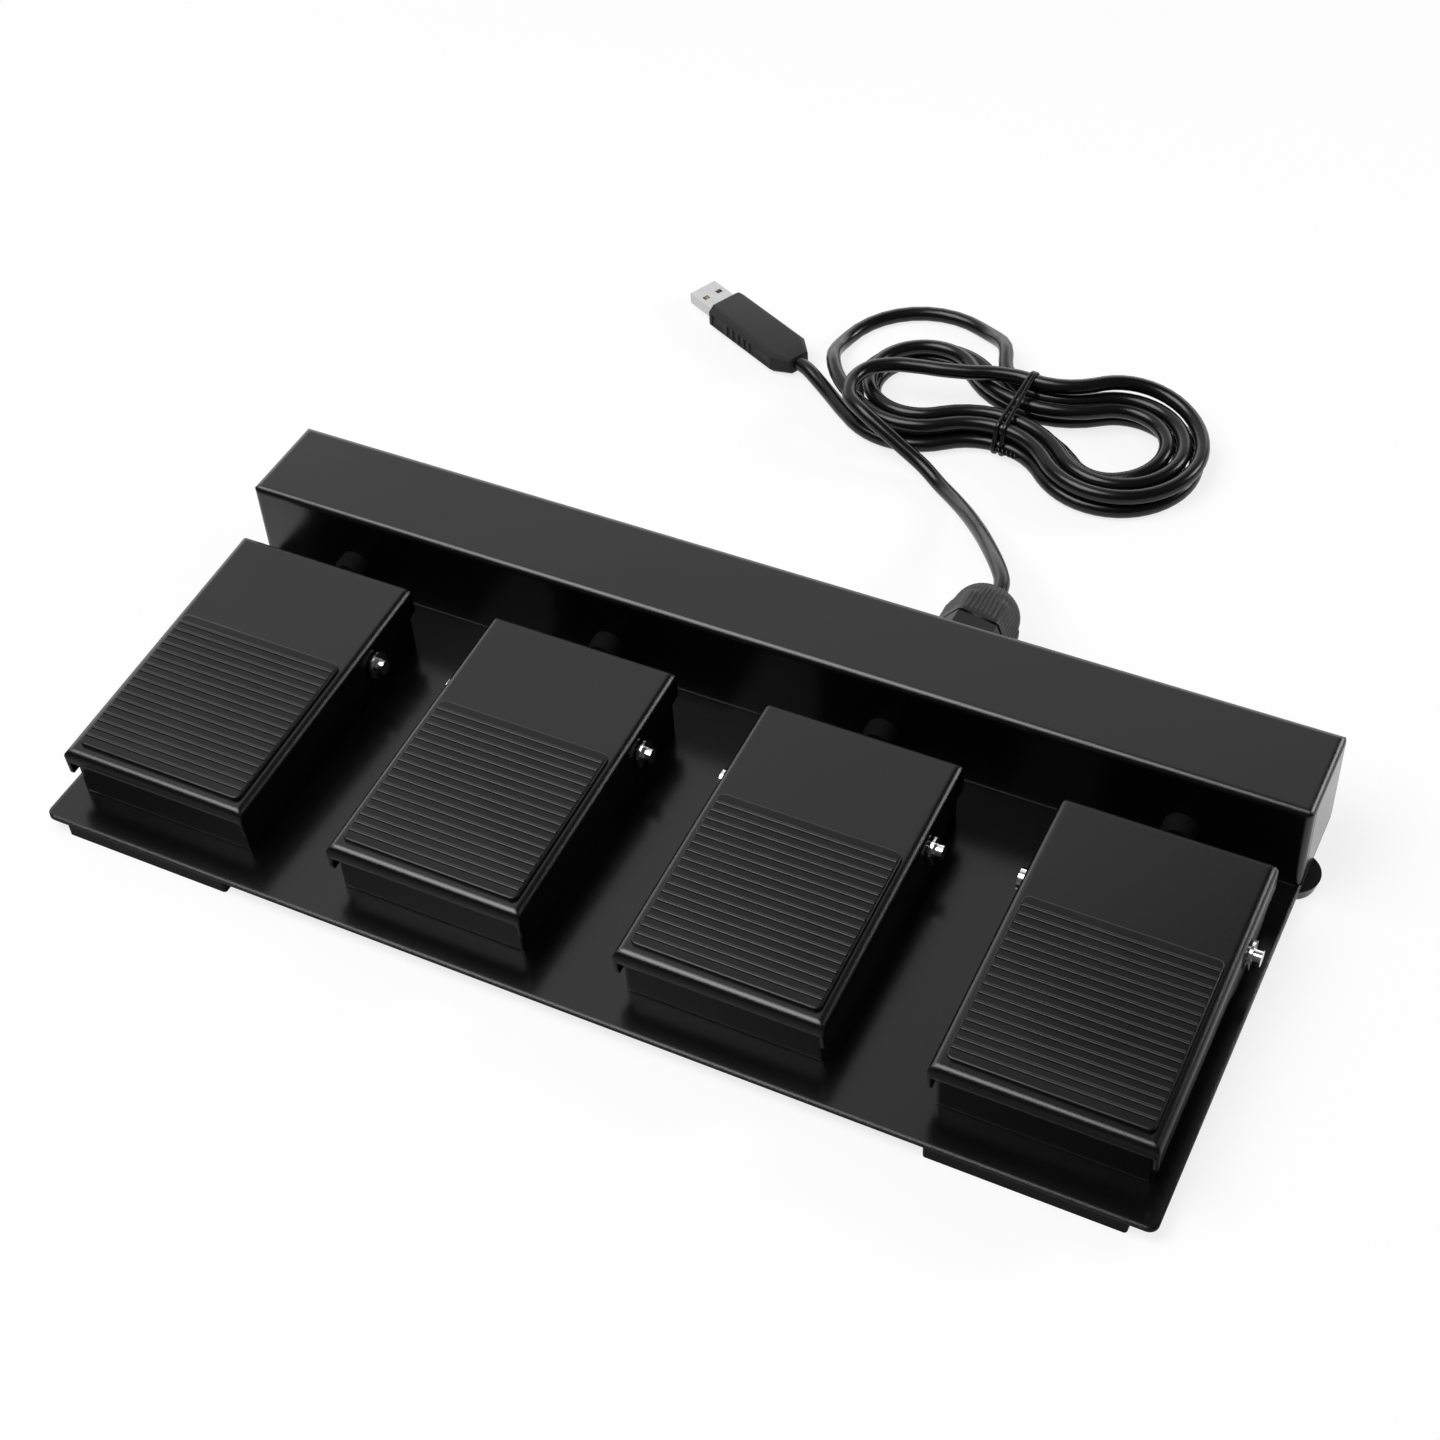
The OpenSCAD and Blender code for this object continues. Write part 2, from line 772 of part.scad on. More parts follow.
// Route of the tail, from the hank to the plug
plug_way = [cos(plug_heading), sin(plug_heading), 0];
plug_mouth = [plug_rear[0], plug_rear[1], plug_h / 2];
tail_route = concat(
    [hank_end, hank_end + cord_d * hank_end_way],
    [[-42.5, 208.6, 3], [-49, 213, 3.9]],
    [plug_mouth - cord_d * plug_way, plug_mouth]
);

// Route of the cord's end inside the housing, from the gland's mouth to the board
cord_socket_face = cord_socket_x + cord_socket_w / 2;
cord_socket_z = board_top + cord_socket_h / 2;
inner_route = [
    gland_mouth, [gland_x, plate_rear + 18, gland_z], [gland_x, plate_rear + 4, gland_z],
    [gland_x, plate_rear - 10.5, gland_z], [60, 69, 22.7], [56.5, 66.5, 23.3], [51, 66, 23.7], [45, 66, 23.2],
    [39, 66, 20.5], [34, 66, 17.8], [cord_socket_face + cord_d, board_y, cord_socket_z],
    [cord_socket_face, board_y, cord_socket_z]
];

module usb_cord() {
    color(deep_black) tube(free_route, cord_r, cord_sides);
}

module usb_cord_hank() {
    color(deep_black) tube(hank_route, cord_r, wound_sides);
}

module usb_cord_tail() {
    color(deep_black) tube(tail_route, cord_r, cord_sides);
}

module cord_inner_lead() {
    color(deep_black) tube(inner_route, cord_r, cord_sides);
}

// Outline round the strands at the waist: the ends of the two layers and the entry
module waist_outline(grow) {
    hull() {
        for (turn = [0, 0.5, 4, 4.5]) {
            side = loop_point(turn, loop_inset(turn))[1];
            translate([side + sign(side) * tie_side_gap, loop_height(turn)])
                circle(cord_r + grow, $fn = 16);
        }
    }
}

module cord_tie() {
    color(deep_black)
    translate([hank_x, hank_y, 0]) rotate(hank_turn)
    along_x(tie_w)
    difference() {
        waist_outline(tie_gap + tie_t);
        waist_outline(tie_gap);
    }
}

// Plug, drawn along +X from its rear face and turned to its heading

module at_plug() {
    translate([plug_rear[0], plug_rear[1], 0]) rotate(plug_heading) children();
}

module plug_overmould() {
    half_w = plug_w / 2;
    half_rear = plug_rear_w / 2;
    low_rear = (plug_h - plug_rear_h) / 2;
    color(deep_black)
    at_plug()
    difference() {
        intersection() {
            linear_extrude(plug_h) polygon([
                [0, -half_rear], [plug_taper_l, -half_w], [plug_l - nose, -half_w], [plug_l, nose - half_w],
                [plug_l, half_w - nose], [plug_l - nose, half_w], [plug_taper_l, half_w], [0, half_rear]
            ]);
            along_y(2 * plug_w) polygon([
                [0, low_rear], [plug_taper_l, 0], [plug_l, 0], [plug_l, plug_h], [plug_taper_l, plug_h],
                [0, plug_h - low_rear]
            ]);
            along_x(3 * plug_l) polygon([
                [plug_bevel - half_w, 0], [half_w - plug_bevel, 0], [half_w, plug_bevel],
                [half_w, plug_h - plug_bevel], [half_w - plug_bevel, plug_h], [plug_bevel - half_w, plug_h],
                [-half_w, plug_h - plug_bevel], [-half_w, plug_bevel]
            ]);
        }
        translate([plug_l - shell_depth, -shell_w / 2 - fit_clear, (plug_h - shell_h) / 2 - fit_clear])
            cube([shell_depth + cut, shell_w + 2 * fit_clear, shell_h + 2 * fit_clear]);
        for (i = [0:grip_count - 1], s = [-1, 1])
            translate([grip_start + i * grip_pitch, s * half_w - grip_depth, (plug_h - grip_h) / 2])
                cube([grip_w, 2 * grip_depth, grip_h]);
    }
}

module plug_shell() {
    length = shell_depth + shell_l;
    tip = plug_l + shell_l;
    color(bright_steel)
    at_plug()
    difference() {
        translate([plug_l - shell_depth, -shell_w / 2, (plug_h - shell_h) / 2])
            cube([length, shell_w, shell_h]);
        translate([plug_l - shell_depth - cut, shell_t - shell_w / 2, (plug_h - shell_h) / 2 + shell_t])
            cube([length + 2 * cut, shell_w - 2 * shell_t, shell_h - 2 * shell_t]);
        for (s = [-1, 1])
            translate([tip - window_from_tip, s * window_offset, plug_h / 2])
                cube([window_l, window_w, plug_h], center = true);
    }
}

module plug_tongue() {
    length = shell_depth + shell_l - tongue_setback;
    side_gap = shell_t + fit_clear;
    color(nylon_white)
    at_plug()
    translate([plug_l - shell_depth, side_gap - shell_w / 2, (plug_h - shell_h) / 2 + shell_t])
        cube([length, shell_w - 2 * side_gap, tongue_t]);
}

module plug_contacts() {
    tip = plug_l + shell_l;
    color(contact_gold)
    at_plug()
    for (i = [0:3])
        translate([tip - contact_from_tip - contact_l, (i - 1.5) * contact_pitch - contact_w / 2,
            (plug_h - shell_h) / 2 + shell_t + tongue_t])
            cube([contact_l, contact_w, contact_t]);
}

// Grommets where the leads pass a wall, drawn along +Z with the wall from 0 to wall_t

module grommet(wall_t, outer_l) {
    bore_r = lead_r + lead_clear;
    mouth_r = grommet_r - grommet_bevel;
    rotate_extrude() polygon([
        [bore_r, -outer_l], [mouth_r, -outer_l], [grommet_r, grommet_bevel - outer_l], [grommet_r, 0],
        [neck_r, 0], [neck_r, wall_t], [grommet_r, wall_t], [grommet_r, wall_t + grommet_inner_l],
        [bore_r, wall_t + grommet_inner_l]
    ]);
}

module housing_grommet(i) {
    translate([pedal_xs[i], housing_front, lead_z]) lying_y() grommet(sheet_t, grommet_outer_l);
}

module tray_grommet(i) {
    translate([pedal_xs[i], tray_rear - tray_t, lead_z]) lying_y() grommet(tray_t, grommet_inner_l);
}

module left_lead_grommet() {
    color(rubber_black) housing_grommet(0);
}

module lead_grommets() {
    color(rubber_black) {
        for (i = [1:3]) housing_grommet(i);
        for (i = [0:3]) tray_grommet(i);
    }
}

// Pivot pins with a head on the left, and a clip in a groove on the right

module pivot_pins() {
    left = -treadle_w / 2 - clip_gap;
    right = treadle_w / 2 + pin_end;
    groove = treadle_w / 2 + clip_gap;
    color(bright_steel)
    for (x = pedal_xs) translate([x, pivot_y, pivot_z]) lying_x()
        difference() {
            union() {
                translate([0, 0, left]) cylinder(h = right - left, r = pin_r);
                translate([0, 0, left - pin_head_t]) cylinder(h = pin_head_t, r = pin_head_r);
            }
            translate([0, 0, groove])
            difference() {
                cylinder(h = groove_w, r = pin_r + cut);
                translate([0, 0, -cut]) cylinder(h = groove_w + 2 * cut, r = pin_r - groove_depth);
            }
        }
}

module pivot_clips() {
    groove = treadle_w / 2 + clip_gap;
    mouth = 2 * (pin_r - groove_depth);
    color(bright_steel)
    for (x = pedal_xs) translate([x, pivot_y, pivot_z]) lying_x()
        translate([0, 0, groove + (groove_w - clip_t) / 2])
        difference() {
            cylinder(h = clip_t, r = clip_r);
            translate([0, 0, -cut]) cylinder(h = clip_t + 2 * cut, r = pin_r - groove_depth + pin_clear);
            translate([0, -mouth / 2, -cut]) cube([clip_r + cut, mouth, clip_t + 2 * cut]);
        }
}

module switch_screws() {
    color(bright_steel)
    for (x = pedal_xs, p = switch_screw_places)
        translate([x - switch_t / 2, p[0], p[1]]) lying_x() screw_and_nut(switch_t + tray_t);
}

// Pedal tray: folded sheet with side walls, a rear stop and a tab for the switch

module pedal_tray(i) {
    depth = tray_rear - tray_front;
    side_outline = [
        [tray_front, plate_z], [tray_rear, plate_z], [tray_rear, wall_rear_top], [pivot_y, wall_rear_top],
        [tray_front, wall_front_top]
    ];
    color(deep_black)
    translate([pedal_xs[i], 0, 0])
    difference() {
        union() {
            translate([-tray_half, tray_front, plate_z]) cube([2 * tray_half, depth, tray_t]);
            translate([-tray_half, tray_front, plate_z])
                cube([2 * tray_half, tray_t, wall_front_top - plate_z]);
            translate([-tray_half, tray_rear - tray_t, plate_z])
                cube([2 * tray_half, tray_t, stop_top - plate_z]);
            for (s = [-1, 1])
                translate([s * (tray_half - tray_t / 2), 0, 0]) along_x(tray_t) polygon(side_outline);
            translate([switch_t / 2, switch_y - switch_l / 2, plate_z])
                cube([tray_t, switch_l, tray_t + switch_h]);
            translate([0, spring_y, plate_z]) cylinder(h = tray_t + stud_h, r = stud_r);
        }
        for (s = [-1, 1], y = tray_screw_ys) translate([s * tray_screw_x, y, plate_z]) screw_hole(tray_t);
        for (p = switch_screw_places)
            translate([switch_t / 2, p[0], p[1]]) lying_x() screw_hole(tray_t);
        translate([0, pivot_y, pivot_z])
            lying_x() cylinder(h = 3 * tray_half, r = pin_r + pin_clear, center = true);
        translate([0, tray_rear - tray_t - cut, lead_z])
            lying_y() cylinder(h = tray_t + 2 * cut, r = neck_r + neck_clear);
    }
}

// Treadle, drawn about its pivot axis and then tilted to its rest slope

module at_treadle(i) {
    translate([pedal_xs[i], pivot_y, pivot_z]) rotate([rest_tilt, 0, 0]) children();
}

// Half-space outline behind a round front top corner
module front_corner(front, top, radius) {
    translate([front, -below]) square([2 * treadle_l, below + top - radius]);
    translate([front + radius, -below]) square([2 * treadle_l, below + top]);
    translate([front + radius, top - radius]) circle(radius);
}

module treadle(i) {
    flange_z = top_rise - flange_h;
    ear_z = -pin_r - ear_wall;
    inner_r = treadle_bend_r - treadle_t;
    inner_w = treadle_w - 2 * treadle_t;
    color(powder_black)
    at_treadle(i)
    difference() {
        intersection() {
            along_x(treadle_w) intersection() {
                front_corner(-front_reach, top_rise, treadle_bend_r);
                polygon([
                    [-front_reach, flange_z], [-ear_half - ear_slope, flange_z], [-ear_half, ear_z],
                    [ear_half, ear_z], [ear_half + ear_slope, flange_z], [treadle_tail, flange_z],
                    [treadle_tail, top_rise], [-front_reach, top_rise]
                ]);
            }
            along_y(4 * treadle_l) translate([0, -below])
                folded_outline(treadle_w, below + top_rise, treadle_bend_r);
        }
        intersection() {
            along_x(inner_w) front_corner(treadle_t - front_reach, under_rise, inner_r);
            along_y(4 * treadle_l) translate([0, -below])
                folded_outline(inner_w, below + under_rise, inner_r);
        }
        translate([-inner_w / 2, -front_reach - cut, -below])
            cube([inner_w, treadle_t + 2 * cut, below + top_rise - lip_h]);
        lying_x() cylinder(h = 2 * treadle_w, r = pin_r + pin_clear, center = true);
    }
}

module tread_pad(i) {
    front = pad_setback - front_reach;
    margin = 2;
    pitch = (pad_w - 2 * margin) / rib_count;
    rib_foot = 0.3 * pitch;
    rib_top = 0.2 * pitch;
    low = top_rise + pad_t;
    ribs = [for (k = [0:rib_count - 1])
        let (y = front + margin + (k + 0.5) * pitch)
        each [
            [y - rib_foot, low], [y - rib_top, low + rib_h], [y + rib_top, low + rib_h], [y + rib_foot, low]
        ]];
    color(rubber_black)
    at_treadle(i)
    along_x(pad_w)
    polygon(concat(
        [[front, top_rise], [front, low]], ribs, [[front + pad_w, low], [front + pad_w, top_rise]]
    ));
}

module return_spring(i) {
    rings = spring_turns * curl_rings;
    route = [for (k = [0:rings])
        let (a = 360 * k / curl_rings)
        [spring_d / 2 * cos(a), spring_d / 2 * sin(a), spring_low + (spring_high - spring_low) * k / rings]];
    color(bright_steel)
    translate([pedal_xs[i], spring_y, 0]) tube(route, spring_wire / 2, wound_sides);
}

module micro_switch(i) {
    color(deep_black)
    translate([pedal_xs[i], 0, 0])
    difference() {
        union() {
            translate([-switch_t / 2, switch_y - switch_l / 2, tray_floor])
                cube([switch_t, switch_l, switch_h]);
            for (k = [0, 1])
                translate([-terminal_w / 2, switch_rear - cut, tray_floor + terminal_low + k * terminal_step])
                    cube([terminal_w, terminal_l + cut, terminal_t]);
        }
        translate([0, switch_y, tray_floor + switch_h - plunger_bore])
            cylinder(h = plunger_bore + cut, r = plunger_r + plunger_clear);
        for (p = switch_screw_places)
            translate([-switch_t / 2, p[0], p[1]]) lying_x() screw_hole(switch_t);
    }
}

module switch_plunger(i) {
    low = tray_floor + switch_h - plunger_depth;
    color("#8c2a24")
    translate([pedal_xs[i], switch_y, low]) cylinder(h = plunger_top - low, r = plunger_r);
}

// Lead of one pedal: from the switch, under the pivot pin and through both grommets,
// then straight to its connector, or round a bend and along the housing to it
module pedal_lead(i) {
    x = pedal_xs[i];
    socket_x = socket_places()[i];
    inward = x > 0 ? -1 : 1;
    lane_y = socket_y + socket_d / 2;
    bend_y = housing_front + 5;
    bend_r = lane_y - bend_y;
    socket_side = socket_x - inward * socket_w / 2;
    in_tray = [
        [x, terminal_y, terminal_z], [x, terminal_y + lead_d, terminal_z],
        [x, pivot_y + 5, terminal_z + 0.6], [x, pivot_y + 13, (terminal_z + lead_z) / 2],
        [x, tray_rear - 5, lead_z], [x, tray_rear + 4, lead_z],
        [x, housing_front, lead_z], [x, bend_y, lead_z]
    ];
    straight = [[x, socket_y, lead_z]];
    round_bend = concat(
        [for (a = [30:30:90]) [x + inward * bend_r * (1 - cos(a)), bend_y + bend_r * sin(a), lead_z]],
        [[(x + socket_x) / 2, lane_y, lead_z], [socket_side - inward * lead_d, lane_y, lead_z]],
        [[socket_side, lane_y, lead_z]]
    );
    color(deep_black) tube(concat(in_tray, x == socket_x ? straight : round_bend), lead_r, lead_sides);
}

base_plate();
housing_shell();
sheet_screws();
front_foot(-1);  // front_foot_left
front_foot(1);  // front_foot_right
rear_foot(-1);  // rear_foot_left
rear_foot(1);  // rear_foot_right
rear_foot_screws();
control_board();
board_components();
lead_connectors();
cord_connector();
board_posts();
board_screws();
gland_body();
gland_nut();
gland_lock_nut();
gland_seal();
usb_cord();
usb_cord_hank();
usb_cord_tail();
cord_inner_lead();
cord_tie();
plug_overmould();
plug_shell();
plug_tongue();
plug_contacts();
left_lead_grommet();
lead_grommets();
pivot_pins();
pivot_clips();
switch_screws();
for (i = [0:3]) {
    pedal_tray(i);
    treadle(i);
    tread_pad(i);
    return_spring(i);
    micro_switch(i);
    switch_plunger(i);
    pedal_lead(i);
}
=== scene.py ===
"""Looks of a foot pedal unit: four treadles on one base plate, with a tied USB cord behind it.

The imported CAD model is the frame. Metres, +Z is up, +Y runs to the rear, and the floor is at z = 0.
"""

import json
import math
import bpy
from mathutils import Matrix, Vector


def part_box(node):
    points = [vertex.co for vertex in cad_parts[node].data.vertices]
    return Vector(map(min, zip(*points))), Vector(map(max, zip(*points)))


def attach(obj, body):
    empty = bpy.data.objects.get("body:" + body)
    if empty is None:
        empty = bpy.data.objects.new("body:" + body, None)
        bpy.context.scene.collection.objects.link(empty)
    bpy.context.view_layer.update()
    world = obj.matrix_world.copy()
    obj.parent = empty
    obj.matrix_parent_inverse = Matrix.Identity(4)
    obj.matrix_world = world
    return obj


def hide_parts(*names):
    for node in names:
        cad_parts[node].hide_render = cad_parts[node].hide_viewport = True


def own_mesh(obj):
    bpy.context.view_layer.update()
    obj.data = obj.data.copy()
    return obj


bl_info = {
    "name": "Foot pedal unit",
    "version": (1, 0, 0),
    "blender": (4, 5, 0),
    "location": "3D View > Sidebar > Foot Pedals",
    "description": "Finishes and fine pieces of a foot pedal unit with four treadles",
    "category": "Object",
}

import bmesh
import bpy
from bpy.props import FloatProperty, FloatVectorProperty, IntProperty, PointerProperty
from mathutils import Matrix, Vector
from mathutils.geometry import convex_hull_2d

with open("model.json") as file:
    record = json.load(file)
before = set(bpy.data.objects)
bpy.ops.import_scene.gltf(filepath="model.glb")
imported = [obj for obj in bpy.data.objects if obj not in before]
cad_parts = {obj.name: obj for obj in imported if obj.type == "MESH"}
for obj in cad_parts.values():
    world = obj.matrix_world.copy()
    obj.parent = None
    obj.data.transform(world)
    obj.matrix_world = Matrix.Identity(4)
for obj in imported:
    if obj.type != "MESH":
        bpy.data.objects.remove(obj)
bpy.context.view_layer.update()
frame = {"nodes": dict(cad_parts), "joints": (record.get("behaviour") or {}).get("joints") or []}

FINISH_PREFIX = "finish_"
PEDALS = (1, 2, 3, 4)
UP = Vector((0.0, 0.0, 1.0))
BLACK = (0.0, 0.0, 0.0)
WHITE = (1.0, 1.0, 1.0)
TUBE_CREASE = 60.0
WIRE_SIDES = 8

# The cord's route, in metres, from the gland's mouth to the plug's rear face
GLAND_MOUTH = Vector((0.061, 0.1105, 0.0225))
FREE_RUN = (
    (0.0598, 0.1207, 0.0223), (0.0569, 0.1259, 0.0215), (0.0529, 0.132, 0.0199), (0.0478, 0.1396, 0.0171),
    (0.0424, 0.1475, 0.0138), (0.0366, 0.1555, 0.0102), (0.0301, 0.1635, 0.0068), (0.0227, 0.171, 0.0042),
    (0.0146, 0.1776, 0.0029), (0.006, 0.1825, 0.005), (-0.004, 0.1855, 0.0088), (-0.013, 0.188, 0.0124),
    (-0.0215, 0.191, 0.0152), (-0.029, 0.1965, 0.0158), (-0.0315, 0.205, 0.0159), (-0.029, 0.2135, 0.0159),
    (-0.0215, 0.219, 0.0159), (-0.0125, 0.2215, 0.0159), (-0.0035, 0.223, 0.016), (0.0055, 0.2253, 0.016),
    (0.014, 0.2282, 0.016),
)
TAIL_RUN = ((-0.0425, 0.2086, 0.003), (-0.049, 0.213, 0.0039))
PLUG_REAR = Vector((-0.060, 0.219, 0.0))
PLUG_HEADING = math.radians(154.2)
PLUG_FRAME = Matrix.Translation(PLUG_REAR) @ Matrix.Rotation(PLUG_HEADING, 4, "Z")
PLUG_HEIGHT = 0.010
PLUG_HALF_WIDTH = 0.0085

# The cord's end inside the housing, from the gland to its socket on the board
INNER_RUN = (
    (0.061, 0.1095, 0.0225), (0.061, 0.1005, 0.0225), (0.061, 0.0865, 0.0225), (0.061, 0.072, 0.0225),
    (0.060, 0.069, 0.0227), (0.0565, 0.0665, 0.0233), (0.051, 0.066, 0.0237), (0.045, 0.066, 0.0232),
    (0.039, 0.066, 0.0205), (0.034, 0.066, 0.0178), (0.0315, 0.066, 0.0171), (0.026, 0.066, 0.0171),
)

# Directions of the two softboxes from the object, with their distances and sizes
KEY_WAY = Vector((-0.33, -0.21, 0.92)).normalized()
KEY_DISTANCE = 1.5
KEY_SIZE = 1.0
RIM_WAY = Vector((0.66, 0.62, 0.40)).normalized()
RIM_DISTANCE = 1.6
RIM_SIZE = 0.4

# Soft edges of what gloss mirrors: where each starts and where it is complete
BACKDROP_REAR = (-0.3, 0.35)
BACKDROP_SIDE = (0.3, 0.55)
BACKDROP_SLANT = 1.5
BACKDROP_SLANTED_EDGE = (1.0, 1.22)
BAND_FOOT = (0.05, 0.12)
BAND_HEAD = (0.42, 0.55)
CROWN_EDGE = (0.94, 0.975)
FLOOR_RADIUS = 6.0
FLOOR_WHITE = (0.4, 1.3)
FLOOR_FRONT = (-0.1, 0.06)


def setting(kind, **fixed):
    """A maker of one kind of setting, from a name, a description and a default."""

    def make(name, description, default, **more):
        return kind(name=name, description=description, default=default, **fixed, **more)

    return make


tint = setting(FloatVectorProperty, subtype="COLOR", size=3, min=0.0, max=1.0)
fraction = setting(FloatProperty, subtype="FACTOR", min=0.0, max=1.0)
number = setting(FloatProperty)
whole_number = setting(IntProperty)
metres = setting(FloatProperty, unit="LENGTH", subtype="DISTANCE", precision=5)
position = setting(FloatVectorProperty, unit="LENGTH", subtype="XYZ", precision=5)
watts = setting(FloatProperty, unit="POWER", subtype="POWER")


def angle(name, description, degrees):
    """An angle, given in degrees."""
    return number(name, description, math.radians(degrees), unit="ROTATION", subtype="ANGLE")


class FinishSettings(bpy.types.PropertyGroup):
    """Colours and gloss of the finishes."""

    coat: tint("Powder coat", "Colour of the sheet metal's powder coat", (0.0021, 0.0021, 0.0022))
    coat_roughness: fraction("Coat roughness", "Roughness of the powder coat", 0.21)
    rubber: tint("Rubber", "Colour of the pads, feet and grommets", (0.005, 0.005, 0.0052))
    rubber_roughness: fraction("Rubber roughness", "Roughness of the rubber", 0.3)
    jacket: tint("Cord jacket", "Colour of the cord and leads", (0.004, 0.004, 0.0042))
    jacket_roughness: fraction("Jacket roughness", "Roughness of the cord's jacket", 0.23)
    plastic: tint("Black plastic", "Colour of the gland and switches", (0.006, 0.006, 0.0062))
    plastic_roughness: fraction("Plastic roughness", "Roughness of the black plastic", 0.42)
    grip: tint("Plug grip", "Colour of the plug's moulded grip", (0.032, 0.032, 0.033))
    chrome: tint("Pin plating", "Colour of the pivot pins and clips", (0.8, 0.8, 0.81))
    steel: tint("Zinc plate", "Colour of the screws and springs", (0.6, 0.61, 0.63))
    nickel: tint("Plug plating", "Colour of the plug's metal shell", (0.56, 0.56, 0.57))
    gold: tint("Contact plating", "Colour of the plug's contacts", (0.8, 0.58, 0.24))
    nylon: tint("White nylon", "Colour of the sockets, posts and tongue", (0.74, 0.72, 0.66))
    plunger: tint("Plunger", "Colour of the switch plungers", (0.4, 0.045, 0.035))
    laminate: tint("Board", "Colour of the control board", (0.02, 0.13, 0.05))


class PadSettings(bpy.types.PropertyGroup):
    """Sizes of the ribbed tread pads."""

    width: metres("Width", "Width and length of a pad", 0.0605)
    sheet: metres("Sheet", "Thickness of a pad without its ribs", 0.0014)
    corner: metres("Corner", "Radius of a pad's corners", 0.0022)
    edge: metres("Edge", "Width of the rounding of a pad's top edge", 0.0008)
    edge_drop: metres("Edge drop", "Height of the rounding of a pad's top edge", 0.0005)
    rib_count: whole_number("Ribs", "Number of ribs across a pad", 17, min=4, max=30)
    rib_width: metres("Rib width", "Width of a rib at its foot", 0.0014)
    rib_height: metres("Rib height", "Height of a rib above the sheet", 0.00036)
    rib_inset: metres("Rib inset", "Distance from a rib's end to the pad's side", 0.0005)
    margin: metres("Margin", "Plain band at the pad's front and rear", 0.0023)
    reach: metres("Reach", "Distance from the pivot axis to the pad's front edge", 0.0727)
    rise: metres("Rise", "Height of the treadle's top above the pivot axis", 0.0095)
    tilt: angle("Tilt", "Slope of a treadle at rest", 2.7)


class CordSettings(bpy.types.PropertyGroup):
    """Sizes of the USB cord and of the hank that it is tied in."""

    diameter: metres("Diameter", "Diameter of the cord", 0.0055)
    length: metres("Length", "Length of the cord from the gland to the plug", 1.8)
    centre: position("Centre", "Middle of the hank", (0.028, 0.220, 0.0))
    heading: angle("Heading", "Direction of the hank's long axis", -5.0)
    reach: metres("Reach", "Half length of the outer loop", 0.070)
    lobe: metres("Lobe", "Radius of the outer loop's ends", 0.031)
    waist: metres("Waist", "Half width of the outer loop at the tie", 0.016)
    loop_step: metres("Loop step", "Spacing of loops side by side", 0.0063)
    layer_step: metres("Layer step", "Spacing of loops one above another", 0.0061)
    turns: number("Turns", "Turns of cord in the hank", 4.67, min=1.0, max=8.0)
    lift: metres("Lift", "Height by which the tie lifts the waist", 0.001)
    bulge: metres("Bulge", "How far the loose loop stands out", 0.022)
    lead_diameter: metres("Lead diameter", "Diameter of a pedal lead", 0.004)


class StageSettings(bpy.types.PropertyGroup):
    """Camera, lights and floor."""

    azimuth: angle("Azimuth", "Direction of the camera round the object", 29.013)
    elevation: angle("Elevation", "Height of the camera above the horizon", 46.599)
    roll: angle("Roll", "Turn of the camera about its line of sight", -4.015)
    distance: metres("Distance", "Distance from the camera to its target", 0.7891)
    target: position("Target", "Point at the middle of the picture", (-0.00553, 0.04035, 0.006))
    lens: number("Lens", "Focal length of the camera", 60.82, subtype="DISTANCE_CAMERA")
    key: watts("Key", "Power of the softbox overhead", 17.0)
    rim: watts("Rim", "Power of the softbox at the rear right", 6.5)
    band: number("Band", "Extra light low on the backdrop, as gloss mirrors it", 1.6, min=0.0)
    crown: number("Crown", "Extra light overhead, as gloss mirrors it", 3.6, min=0.0)
    fill: fraction("Fill", "Light of the surroundings on matt surfaces", 0.3)
    room: fraction("Room", "Light of the room off the backdrop, as gloss mirrors it", 0.09)
    dimming: fraction("Dimming", "Share of its glow that the floor in front shows to gloss", 0.02)
    glow: fraction("Glow", "Share of the floor's white that holds in the shadows", 0.79)


class Channel:
    """A shader socket that takes part in Python expressions."""

    def __init__(self, shading, socket):
        self.shading = shading
        self.socket = socket

    def maths(self, operation, first, second):
        return self.shading.node("ShaderNodeMath", {"operation": operation}, {0: first, 1: second})

    def __add__(self, other):
        return self.maths("ADD", self, other)

    def __radd__(self, other):
        return self.maths("ADD", other, self)

    def __sub__(self, other):
        return self.maths("SUBTRACT", self, other)

    def __rsub__(self, other):
        return self.maths("SUBTRACT", other, self)

    def __mul__(self, other):
        return self.maths("MULTIPLY", self, other)

    def __rmul__(self, other):
        return self.maths("MULTIPLY", other, self)


